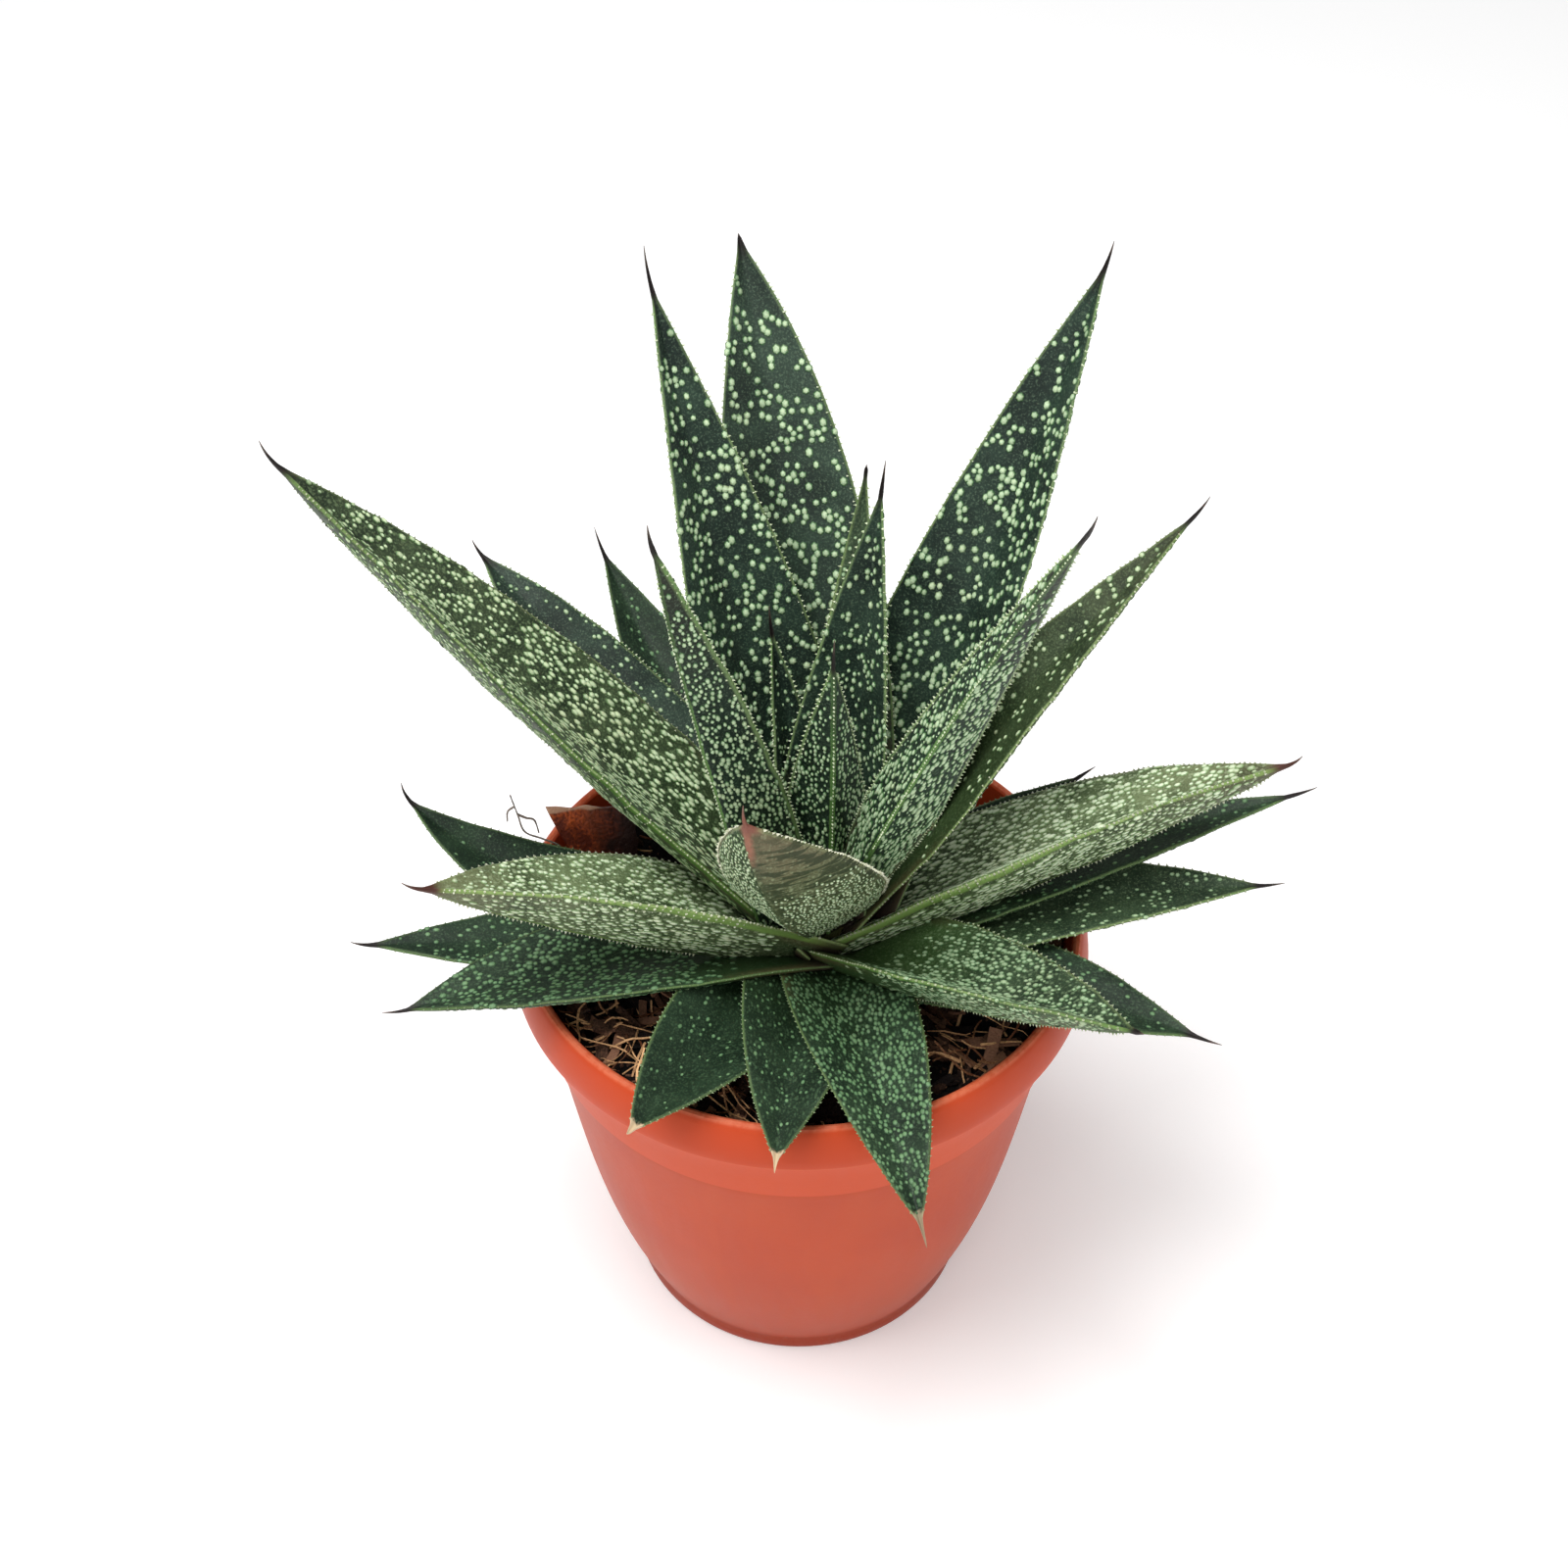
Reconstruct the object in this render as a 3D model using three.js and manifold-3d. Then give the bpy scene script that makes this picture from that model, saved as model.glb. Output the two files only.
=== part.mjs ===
// Potted aloe hybrid: a rosette of thick, keeled leaves on a short stem, in a 12 cm nursery pot.
// Millimetres, +Z up. The origin is the middle of the pot's foot, on the surface it stands on.
import * as THREE from 'three';
import { mergeVertices } from 'three/addons/utils/BufferGeometryUtils.js';
import Module from 'manifold-3d';

const wasm = await Module();
wasm.setup();

// Clearance between pieces that touch on the real plant.
const GAP = 0.3;

// Pot, from the foot up. All radii are of the outer wall unless they say inner.
const POT_HEIGHT = 105;
const RIM_RADIUS = 60;
const POT_SIDES = 48;
const WALL = 1.3;
const FOOT_RADIUS = 38.3;
const FOOT_RING_HEIGHT = 4.5;
const FOOT_RING_WIDTH = 4;
const FOOT_BEVEL = 0.8;
// The floor stands on a flat disc in its middle; outside that it is lifted, so that it can drain.
const DISC_RADIUS = 16;
const FLOOR_LIFT = 2.5;
const FLOOR_SLOPE = 2.5;
const STEP_RADIUS = 53.8;
const STEP_HEIGHT = 79.3;
const BODY_STEPS = 6;
const BODY_SWELL = 2.3;
const BODY_SKEW = 0.9;
// Radius and height of the plain band, the ledge above it and the rounded lip.
const BAND_AND_LIP = [
  [54.7, 79.9], [56.8, 94.7], [RIM_RADIUS, 95.5], [59.6, 100], [58, 104.4], [57, POT_HEIGHT],
];
// Radius and height of the inner wall from the lip down to the top of the body.
const LIP_INSIDE = [[56.1, 104.4], [54.8, 97], [52.5, STEP_HEIGHT]];
const DRAIN_HOLES = 6;
const DRAIN_RADIUS = 3.5;
const DRAIN_CIRCLE = 26.5;
const DRAIN_SIDES = 10;

// Potting mix: an uneven surface that dips round the stem, with bark lumps bedded in it.
const SOIL_HEIGHT = 98;
const SOIL_SIDES = 24;
const SOIL_RINGS = [0.92, 0.76, 0.58, 0.36];
const SOIL_UNEVEN = 0.9;
const SOIL_DIP = 7;
const SOIL_DIP_REACH = 26;
const LUMPS = 26;
const LUMP_RING = [33, 50];
const LUMP_LENGTH = [5, 11];
const LUMP_WIDTH = [3, 6];
const LUMP_THICKNESS = [2.5, 4];
const LUMP_SINK = 0.6;
const LUMP_TILT = 0.5;
const SEED = 7;
const RANDOM_STEP = 16807;
const RANDOM_RANGE = 2147483647;

// Bark chip that stands in the mix behind the left leaves: a thin, slightly hollow piece, wider at its top.
const CHIP_FOOT = [-40.5, 18.5, 94.5];
const CHIP_TOP = [-44.5, 23.2, 110.8];
const CHIP_TURN = 8;
const CHIP_FOOT_WIDTH = 12;
const CHIP_TOP_WIDTH = 18;
const CHIP_THICKNESS = 1.8;
const CHIP_HOLLOW = 0.8;
const CHIP_SLOPE = -1.2;
const CHIP_COLUMNS = 4;
const CHIP_ROWS = 3;

// Dried flower stalk that leans out over the rim, with two side twigs.
const SPRIG_RADIUS = 0.45;
const SPRIG_SIDES = 5;
const SPRIG_STALK = [
  [-49, 18.5, 92], [-50, 18.2, 99], [-51, 18, 104.5], [-54.5, 17.4, 107.5], [-58, 16.5, 110.5],
  [-59, 16, 116], [-60, 15.5, 122],
];
const SPRIG_LONG_TWIG = [[-59, 16, 116], [-57.3, 16.4, 114.6], [-55.8, 17, 113.4], [-55.3, 18, 108.8]];
const SPRIG_SHORT_TWIG = [[-59.4, 15.8, 118.5], [-60.9, 15.4, 117.4], [-61.2, 15.5, 114.5]];

// Stem: a short taper that stands in the mix and carries every leaf.
const STEM_X = 4;
const STEM_Y = -7;
const STEM_FOOT = 84;
const STEM_WAIST = 102;
const STEM_TOP = 119;
const STEM_RADIUS = 6.5;
const STEM_TOP_RADIUS = 3.5;
const STEM_SIDES = 16;

// Leaves, from the inmost outwards. Each value is a size in millimetres or an angle in degrees:
// turn is the compass direction it grows in (0 is +X, 90 is +Y), up is how steeply it leaves the stem,
// curl is how much steeper it is at its tip, sweep is how far it swings sideways by its tip,
// roll tips one margin up, fold is how far each half is raised to make the channel above,
// from is how far out of the stem's middle it starts, below zero where its base wraps round the stem,
// height is where it leaves the stem, keel makes the right half wider and the left half narrower by
// that share, neck is the share of its width it has at the stem, and a high taper keeps it broad for
// longer before it narrows.
const LEAVES = [
  { name: 'leaf_heart_small', turn: 116, height: 114, up: 70, length: 61, width: 13, thick: 4 },
  { name: 'leaf_heart_front', turn: 280, height: 113, up: 86, length: 74, width: 22, thick: 6, taper: 1.8 },
  { name: 'leaf_heart_tall', turn: 60, height: 113, up: 79, length: 95, width: 27, thick: 6, taper: 1.8 },
  { name: 'leaf_short_front', turn: 253, from: 1, sweep: -16, height: 112, up: 49, curl: 18, length: 75,
    width: 31, thick: 7, fold: 12, roll: 13, keel: -0.15, neck: 0.75, taper: 4.4 },
  { name: 'leaf_upright_narrow', turn: 211, from: 8, height: 110, up: 78, curl: -4, length: 112,
    width: 19, thick: 8, roll: 25 },
  { name: 'leaf_upright_left', turn: 122, from: 8, height: 110, up: 68, curl: -6, length: 131, width: 36,
    thick: 8, taper: 1.8 },
  { name: 'leaf_steep_right', turn: 312, sweep: -10, height: 110, up: 71, curl: -10, length: 144,
    width: 18, thick: 8, roll: -60, keel: -0.25, neck: 0.5, taper: 1.7 },
  { name: 'leaf_upright_right', turn: 46, from: 9, height: 108, up: 61, length: 139, width: 36, thick: 8 },
  { name: 'leaf_upright_back', turn: 100, sweep: 8, height: 107, up: 57, length: 136, width: 36, thick: 8,
    keel: 0.12, taper: 3.4 },
  { name: 'leaf_right_broad', turn: 7, from: -5, sweep: -15, height: 99, up: 27, length: 109, width: 32,
    thick: 8, roll: -20, keel: -0.1, neck: 0.8, taper: 3.2 },
  { name: 'leaf_leaning_right', turn: 23, height: 106, up: 53, curl: -11, length: 113, width: 34,
    thick: 7, keel: 0.12, neck: 0.55, taper: 1.5 },
  { name: 'leaf_narrow_back', turn: 78, height: 106, up: 67, length: 94, width: 16, thick: 5 },
  { name: 'leaf_leaning_left', turn: 161, sweep: 9, height: 104, up: 40, curl: 6, length: 144, width: 34,
    thick: 8, roll: 10, taper: 3 },
  { name: 'leaf_back_left_steep', turn: 123, from: 8, height: 105, up: 18, curl: 25, length: 93,
    width: 30, thick: 6 },
  { name: 'leaf_back_left_low', turn: 138, height: 103, up: 28, length: 108, width: 28, thick: 6,
    fold: 12, taper: 3.8 },
  { name: 'leaf_left_broad', turn: 201, sweep: 2, height: 103, up: 36, curl: -13, length: 91, width: 33,
    thick: 8, roll: 19, neck: 0.8, taper: 3.2 },
  { name: 'leaf_front_right', turn: 311, sweep: -2, height: 102, up: 29, curl: 1, length: 91, width: 29,
    thick: 6, roll: -12, keel: -0.15, taper: 2.4 },
  { name: 'leaf_front_left', turn: 199, sweep: -4, height: 103, up: 15, curl: -22, length: 86, width: 34,
    thick: 6, fold: 12, roll: 12, taper: 3.2 },
  { name: 'leaf_drooping_right', turn: 283, height: 102, up: 17, curl: -29, length: 77, width: 28,
    thick: 6, taper: 2.6 },
  { name: 'leaf_right_narrow', turn: 10, height: 101, up: 19, curl: -8, length: 102, width: 23, thick: 5,
    fold: 12 },
  { name: 'leaf_right_low', turn: 2, height: 101, up: 15, curl: -13, length: 91, width: 29, thick: 5,
    fold: 14, taper: 2.6 },
  { name: 'leaf_left_upturned', turn: 174, sweep: -30, height: 101, up: 0, curl: 32, length: 92,
    width: 30, thick: 4, fold: 12, taper: 2.6 },
  { name: 'leaf_right_back', turn: 28, height: 101, up: 19, length: 65, width: 22, thick: 5 },
  { name: 'leaf_left_low', turn: 187, height: 100, up: 11, curl: -6, length: 91, width: 26, thick: 4,
    fold: 6, taper: 2.6 },
  { name: 'leaf_drooping_middle', turn: 261, sweep: 3, height: 101, up: 14, curl: -14, length: 62,
    width: 29, thick: 5, neck: 1, taper: 2.6 },
  { name: 'leaf_drooping_left', turn: 237, sweep: 3, height: 101, up: 16, curl: -12, length: 66,
    width: 29, thick: 5, taper: 3 },
  { name: 'leaf_lowest_right', turn: 337, height: 101, up: 15, curl: -22, length: 80, width: 28, thick: 4,
    fold: 8, taper: 2.6 },
  { name: 'leaf_rear_right', turn: 68, height: 101, up: 16, length: 66, width: 24, thick: 6 },
  { name: 'leaf_rear_middle', turn: 92, height: 101, up: 16, length: 72, width: 24, thick: 6 },
  { name: 'leaf_rear_left', turn: 116, height: 101, up: 17, length: 62, width: 24, thick: 6 },
];
const LEAF_DEFAULTS = {
  from: 3, sweep: 0, curl: 0, roll: 0, fold: 22, keel: 0, neck: 0.85, taper: 2.3,
};
const LEAF_STATIONS = 8;
const LEAF_EDGE = 0.8;
const SHOULDER_END = 0.4;
const BELLY_SHARE = 0.62;
const FULLNESS_POWER = 0.8;

// Largest shift of a face when the cut bases are cleaned of slivers.
const TIDY = 0.04;
const WELD = 1e-4;

const POT_COLOR = 0xc65f42;
const SOIL_COLOR = 0x2a1d16;
const BARK_COLOR = 0x6a2f18;
const SPRIG_COLOR = 0x8a7a66;
const STEM_COLOR = 0x6b7a4a;
const LEAF_COLOR = 0x2f5138;

const degrees = Math.PI / 180;
const parts = new THREE.Group();

function place(name, solid, color, roughness) {
  const mesh = solid.getMesh();
  const geometry = new THREE.BufferGeometry();
  geometry.setAttribute('position', new THREE.Float32BufferAttribute(mesh.vertProperties, 3));
  geometry.setIndex(Array.from(mesh.triVerts));
  geometry.computeVertexNormals();
  const tint = new THREE.Color(color);
  const material = new THREE.MeshStandardMaterial({ color: tint, roughness, metalness: 0 });
  const body = new THREE.Mesh(geometry, material);
  body.name = name;
  parts.add(body);
}

function toSolid(geometry) {
  const bare = geometry.clone();
  bare.deleteAttribute('normal');
  bare.deleteAttribute('uv');
  const merged = mergeVertices(bare, WELD);
  return new wasm.Manifold(new wasm.Mesh({
    numProp: 3,
    vertProperties: Float32Array.from(merged.attributes.position.array),
    triVerts: Uint32Array.from(merged.index.array),
  }));
}

function largestPiece(solid) {
  return solid.decompose().reduce((best, piece) => (piece.volume() > best.volume() ? piece : best));
}

function middleOf(ring) {
  const middle = new THREE.Vector3();
  ring.forEach((point) => middle.addScaledVector(point, 1 / ring.length));
  return middle;
}

// Joins rings of points into one closed skin; each end cap fans out from its hub.
function loft(rings, hubOf = middleOf) {
  const sides = rings[0].length;
  const positions = [];
  const faces = [];
  rings.forEach((ring) => ring.forEach((point) => positions.push(point.x, point.y, point.z)));
  for (let r = 0; r < rings.length - 1; r += 1) {
    for (let s = 0; s < sides; s += 1) {
      const a = r * sides + s;
      const b = r * sides + ((s + 1) % sides);
      faces.push(a, b, a + sides, b, b + sides, a + sides);
    }
  }
  [0, rings.length - 1].forEach((r) => {
    const middle = hubOf(rings[r]);
    const hub = positions.length / 3;
    positions.push(middle.x, middle.y, middle.z);
    for (let s = 0; s < sides; s += 1) {
      const a = r * sides + s;
      const b = r * sides + ((s + 1) % sides);
      faces.push(...(r === 0 ? [b, a, hub] : [a, b, hub]));
    }
  });
  const geometry = new THREE.BufferGeometry();
  geometry.setAttribute('position', new THREE.Float32BufferAttribute(positions, 3));
  geometry.setIndex(faces);
  return geometry;
}

// The pot's body is a taper that swells a little, more so low down; share runs from its top to its foot.
function bodyRadius(share) {
  const swell = 4 * BODY_SWELL * share * (1 - share);
  const skew = 6 * BODY_SKEW * share * (1 - share) * (1 - 2 * share);
  return THREE.MathUtils.lerp(STEP_RADIUS, FOOT_RADIUS, share) + swell - skew;
}

// The pot's hollow from the lip down to the disc in the floor.
function insideWall() {
  const points = LIP_INSIDE.map(([radius, height]) => [radius, height]);
  const floorTop = FLOOR_LIFT + WALL;
  for (let i = 2; i <= BODY_STEPS; i += 2) {
    const share = i / BODY_STEPS;
    points.push([bodyRadius(share) - WALL, THREE.MathUtils.lerp(STEP_HEIGHT, floorTop, share)]);
  }
  points.push([DISC_RADIUS + FLOOR_SLOPE, floorTop], [DISC_RADIUS, WALL]);
  return points;
}

function potSolid() {
  const profile = [];
  const add = (radius, height) => profile.push(new THREE.Vector2(radius, height));
  add(0, 0);
  add(DISC_RADIUS, 0);
  add(DISC_RADIUS + FLOOR_SLOPE, FLOOR_LIFT);
  add(FOOT_RADIUS - FOOT_RING_WIDTH, FLOOR_LIFT);
  add(FOOT_RADIUS - FOOT_RING_WIDTH, 0);
  add(FOOT_RADIUS - FOOT_BEVEL, 0);
  add(FOOT_RADIUS, FOOT_BEVEL);
  for (let i = BODY_STEPS; i >= 0; i -= 1) {
    const share = i / BODY_STEPS;
    add(bodyRadius(share), THREE.MathUtils.lerp(STEP_HEIGHT, FOOT_RING_HEIGHT, share));
  }
  BAND_AND_LIP.forEach(([radius, height]) => add(radius, height));
  insideWall().forEach(([radius, height]) => add(radius, height));
  add(0, WALL);
  let pot = toSolid(new THREE.LatheGeometry(profile, POT_SIDES).rotateX(Math.PI / 2));
  for (let i = 0; i < DRAIN_HOLES; i += 1) {
    const angle = ((i + 0.5) / DRAIN_HOLES) * 2 * Math.PI;
    const drill = new THREE.CylinderGeometry(DRAIN_RADIUS, DRAIN_RADIUS, 4 * WALL, DRAIN_SIDES);
    drill.rotateX(Math.PI / 2);
    drill.translate(DRAIN_CIRCLE * Math.cos(angle), DRAIN_CIRCLE * Math.sin(angle), FLOOR_LIFT + WALL / 2);
    pot = pot.subtract(toSolid(drill));
  }
  return pot;
}

function stemSolid(extra) {
  const profile = [
    new THREE.Vector2(0, STEM_FOOT - extra),
    new THREE.Vector2(STEM_RADIUS + extra, STEM_FOOT - extra),
    new THREE.Vector2(STEM_RADIUS + extra, STEM_WAIST),
    new THREE.Vector2(STEM_TOP_RADIUS + extra, STEM_TOP + extra),
    new THREE.Vector2(0, STEM_TOP + extra),
  ];
  const upright = new THREE.LatheGeometry(profile, STEM_SIDES).rotateX(Math.PI / 2);
  return toSolid(upright.translate(STEM_X, STEM_Y, 0));
}

// Half width of a blade at a share of its length: a clasping neck, a broad middle and a drawn-out point.
function bladeHalfWidth(leaf, along) {
  const body = leaf.neck + (1 - leaf.neck) * THREE.MathUtils.smoothstep(along, 0, SHOULDER_END);
  return (leaf.width / 2) * body * (1 - Math.pow(along, leaf.taper));
}

// The channel line's path and the leaf's own directions at each station.
function leafFrames(leaf) {
  const frames = [];
  const turn = leaf.turn * degrees;
  const spot = new THREE.Vector3(STEM_X + leaf.from * Math.cos(turn), STEM_Y + leaf.from * Math.sin(turn),
    leaf.height);
  for (let i = 0; i <= LEAF_STATIONS; i += 1) {
    const along = i / LEAF_STATIONS;
    const heading = (leaf.turn + leaf.sweep * along * along) * degrees;
    const rise = (leaf.up + leaf.curl * along) * degrees;
    const ahead = new THREE.Vector3(Math.cos(heading) * Math.cos(rise), Math.sin(heading) * Math.cos(rise),
      Math.sin(rise));
    const level = new THREE.Vector3(-Math.sin(heading), Math.cos(heading), 0);
    const side = level.clone().applyAxisAngle(ahead, leaf.roll * degrees);
    const up = new THREE.Vector3().crossVectors(ahead, side);
    frames.push({ along, spot: spot.clone(), ahead, side, up });
    spot.addScaledVector(ahead, leaf.length / LEAF_STATIONS);
  }
  return frames;
}

// One keeled section: two margins, a channel above and a keel below, grown outwards by extra.
// Its second point is the channel line and its sixth the keel line.
function leafSection(leaf, frame, extra) {
  const half = Math.max(bladeHalfWidth(leaf, frame.along), LEAF_EDGE / 2);
  const left = half * (1 - leaf.keel) + extra;
  const right = half * (1 + leaf.keel) + extra;
  const rise = Math.sin(leaf.fold * degrees);
  const span = Math.cos(leaf.fold * degrees);
  const fullness = Math.pow(half / (leaf.width / 2), FULLNESS_POWER);
  const depth = Math.max(leaf.thick * fullness, LEAF_EDGE) + extra;
  const margin = LEAF_EDGE / 2 + extra;
  const belly = margin + (depth - margin) * BELLY_SHARE;
  const points = [
    [left * span, left * rise + margin],
    [0, extra],
    [-right * span, right * rise + margin],
    [-right * span, right * rise - margin],
    [-right * span / 2, right * rise / 2 - belly],
    [0, -depth],
    [left * span / 2, left * rise / 2 - belly],
    [left * span, left * rise - margin],
  ];
  return points.map(([across, over]) => frame.spot.clone()
    .addScaledVector(frame.side, across)
    .addScaledVector(frame.up, over));
}

function leafSolid(leaf, extra) {
  const frames = leafFrames(leaf);
  const last = frames[LEAF_STATIONS];
  frames[0].spot.addScaledVector(frames[0].ahead, -extra);
  last.spot.addScaledVector(last.ahead, extra);
  const betweenChannelAndKeel = (ring) => ring[1].clone().lerp(ring[5], 0.5);
  return toSolid(loft(frames.map((frame) => leafSection(leaf, frame, extra)), betweenChannelAndKeel));
}

// A curved sheet: rows from its foot to its top, each row going out along one face and back along the other.
function chipSolid(extra) {
  const foot = new THREE.Vector3(...CHIP_FOOT);
  const top = new THREE.Vector3(...CHIP_TOP);
  const across = new THREE.Vector3(Math.cos(CHIP_TURN * degrees), Math.sin(CHIP_TURN * degrees), 0);
  const upward = top.clone().sub(foot).normalize();
  const through = new THREE.Vector3().crossVectors(across, upward).normalize();
  const rows = [];
  for (let r = 0; r <= CHIP_ROWS; r += 1) {
    const share = r / CHIP_ROWS;
    const half = THREE.MathUtils.lerp(CHIP_FOOT_WIDTH, CHIP_TOP_WIDTH, share) / 2 + extra;
    const end = r === 0 ? -extra : (r === CHIP_ROWS ? extra : 0);
    const middle = foot.clone().lerp(top, share).addScaledVector(upward, end);
    const row = [];
    [1, -1].forEach((face) => {
      for (let c = 0; c <= CHIP_COLUMNS; c += 1) {
        const offset = face * ((2 * c) / CHIP_COLUMNS - 1);
        const hollow = CHIP_HOLLOW * (1 - offset * offset);
        row.push(middle.clone()
          .addScaledVector(across, offset * half)
          .addScaledVector(upward, CHIP_SLOPE * offset * share)
          .addScaledVector(through, face * (CHIP_THICKNESS / 2 + extra) - hollow));
      }
    });
    rows.push(row);
  }
  return toSolid(loft(rows));
}

// A thin round twig along a smooth path.
function twigSolid(path, extra) {
  const curve = new THREE.CatmullRomCurve3(path.map((point) => new THREE.Vector3(...point)));
  const steps = 2 * (path.length - 1);
  const frames = curve.computeFrenetFrames(steps, false);
  const radius = SPRIG_RADIUS + extra;
  const rings = [];
  for (let i = 0; i <= steps; i += 1) {
    const end = i === 0 ? -extra : 0;
    const ring = [];
    for (let s = 0; s < SPRIG_SIDES; s += 1) {
      const angle = (s / SPRIG_SIDES) * 2 * Math.PI;
      ring.push(curve.getPoint(i / steps)
        .addScaledVector(frames.tangents[i], end)
        .addScaledVector(frames.normals[i], radius * Math.cos(angle))
        .addScaledVector(frames.binormals[i], radius * Math.sin(angle)));
    }
    rings.push(ring);
  }
  return toSolid(loft(rings));
}

function sprigSolid(extra) {
  const twigs = [SPRIG_STALK, SPRIG_LONG_TWIG, SPRIG_SHORT_TWIG];
  return twigs.map((path) => twigSolid(path, extra)).reduce((all, twig) => all.add(twig));
}

// The same run of even random numbers each time.
let seedState = SEED;
function random(low, high) {
  seedState = (seedState * RANDOM_STEP) % RANDOM_RANGE;
  return low + (high - low) * (seedState / RANDOM_RANGE);
}

function soilTop(x, y) {
  const away = Math.hypot(x - STEM_X, y - STEM_Y) / SOIL_DIP_REACH;
  return SOIL_HEIGHT - SOIL_DIP * Math.exp(-away * away);
}

// The mix fills the pot up to its clearance: rings run up the wall, then inwards over the surface.
function soilSolid() {
  const wall = insideWall().filter(([, height]) => height < SOIL_HEIGHT).reverse();
  const rings = wall.map(([radius, height]) => {
    const level = height < STEP_HEIGHT / 2 ? height + GAP : height;
    return Array.from({ length: SOIL_SIDES }, (_, s) => {
      const angle = (s / SOIL_SIDES) * 2 * Math.PI;
      return new THREE.Vector3((radius - GAP) * Math.cos(angle), (radius - GAP) * Math.sin(angle), level);
    });
  });
  const rimRadius = wall[wall.length - 1][0] - GAP;
  [1, ...SOIL_RINGS].forEach((share) => {
    rings.push(Array.from({ length: SOIL_SIDES }, (_, s) => {
      const angle = (s / SOIL_SIDES) * 2 * Math.PI;
      const x = rimRadius * share * Math.cos(angle);
      const y = rimRadius * share * Math.sin(angle);
      return new THREE.Vector3(x, y, soilTop(x, y) + random(-SOIL_UNEVEN, SOIL_UNEVEN));
    }));
  });
  let soil = toSolid(loft(rings));
  for (let i = 0; i < LUMPS; i += 1) {
    const angle = ((i + random(0, 1)) / LUMPS) * 2 * Math.PI;
    const reach = random(...LUMP_RING);
    const thickness = random(...LUMP_THICKNESS);
    const lump = new THREE.BoxGeometry(random(...LUMP_LENGTH), random(...LUMP_WIDTH), thickness);
    lump.rotateX(random(-LUMP_TILT, LUMP_TILT));
    lump.rotateY(random(-LUMP_TILT, LUMP_TILT));
    lump.rotateZ(random(0, Math.PI));
    const x = reach * Math.cos(angle);
    const y = reach * Math.sin(angle);
    lump.translate(x, y, soilTop(x, y) + thickness / 2 - LUMP_SINK * thickness);
    soil = soil.add(toSolid(lump));
  }
  return soil;
}

place('pot', potSolid(), POT_COLOR, 0.45);
place('stem', stemSolid(0), STEM_COLOR, 0.7);

// Leaf bases wrap the stem and each other: what an outer leaf would share with an inner one is cut from it.
let taken = stemSolid(GAP);
for (const leaf of LEAVES) {
  const full = { ...LEAF_DEFAULTS, ...leaf };
  place(leaf.name, largestPiece(leafSolid(full, 0).subtract(taken).simplify(TIDY)), LEAF_COLOR, 0.5);
  taken = taken.add(leafSolid(full, GAP));
}

place('bark_chip', chipSolid(0), BARK_COLOR, 0.9);
place('dried_sprig', sprigSolid(0), SPRIG_COLOR, 0.9);
const bedded = taken.add(chipSolid(GAP)).add(sprigSolid(GAP));
place('potting_mix', largestPiece(soilSolid().subtract(bedded).simplify(TIDY)), SOIL_COLOR, 1);

export default parts;
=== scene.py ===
import math
from functools import partialmethod

import bmesh
import bpy
from mathutils import Matrix, Vector, noise


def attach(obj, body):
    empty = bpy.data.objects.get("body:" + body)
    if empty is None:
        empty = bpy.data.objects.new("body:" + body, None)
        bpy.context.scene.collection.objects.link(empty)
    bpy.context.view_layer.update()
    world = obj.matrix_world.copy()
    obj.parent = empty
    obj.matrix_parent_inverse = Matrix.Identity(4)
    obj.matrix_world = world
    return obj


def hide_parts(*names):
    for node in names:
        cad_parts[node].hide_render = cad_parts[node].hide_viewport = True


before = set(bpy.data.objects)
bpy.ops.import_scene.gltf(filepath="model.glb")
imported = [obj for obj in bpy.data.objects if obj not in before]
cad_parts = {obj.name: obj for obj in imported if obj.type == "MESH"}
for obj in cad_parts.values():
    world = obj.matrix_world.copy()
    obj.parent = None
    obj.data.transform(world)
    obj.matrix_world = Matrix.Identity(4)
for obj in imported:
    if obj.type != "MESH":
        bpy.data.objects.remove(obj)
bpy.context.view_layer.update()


# Pot. A 12 cm round nursery pot, injection moulded in one piece from terracotta-coloured
# polypropylene: rounded lip, plain band, small ledge, swelling body and foot ring, with six
# drain holes through its lifted floor. Sizes of every piece are written in millimetres.

MM = 0.001
POT_SIDES = 180
POT_STEP_RADIUS, POT_STEP_HEIGHT = 53.8, 79.3
POT_FOOT_RADIUS, POT_FOOT_HEIGHT = 38.3, 4.5
POT_WALL, POT_FLOOR = 1.3, 2.5
POT_DISC, POT_DISC_FOOT = 16.0, 18.5
POT_SWELL, POT_SKEW = 2.3, 0.9
POT_OUTSIDE_STEPS, POT_INSIDE_STEPS = 28, 16
POT_FOOT_RING = [(34.3, POT_FLOOR), (34.3, 0.4), (34.7, 0), (37.4, 0), (38.0, 0.25), (POT_FOOT_RADIUS, 0.9),
                 (POT_FOOT_RADIUS, 2.6), (POT_FOOT_RADIUS - 0.05, 3.9)]
POT_BAND = [(53.8, 79.6), (54.4, 79.7), (54.75, 80.1), (55.5, 85.5), (56.7, 94.0), (57.0, 94.8),
            (57.6, 95.15), (59.3, 95.2), (59.9, 95.45), (60.0, 96.0), (59.9, 98.0), (59.6, 100.2),
            (59.1, 102.0), (58.6, 103.4), (58.1, 104.4), (57.6, 104.9), (57.0, 105.0), (56.5, 104.8)]
POT_LIP_INSIDE = [(56.1, 104.3), (55.6, 101.5), (54.8, 97.0), (53.6, 88.0), (52.5, 79.3)]
POT_HOLES = dict(circle=26.5, radius=3.5, depth=6, level=3.1)


def metres(**sizes):
    """Named sizes in millimetres, turned into metres."""
    return {name: size * MM for name, size in sizes.items()}


def put_in_scene(name, data):
    made = bpy.data.objects.new(name, data)
    bpy.context.scene.collection.objects.link(made)
    return made


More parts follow.
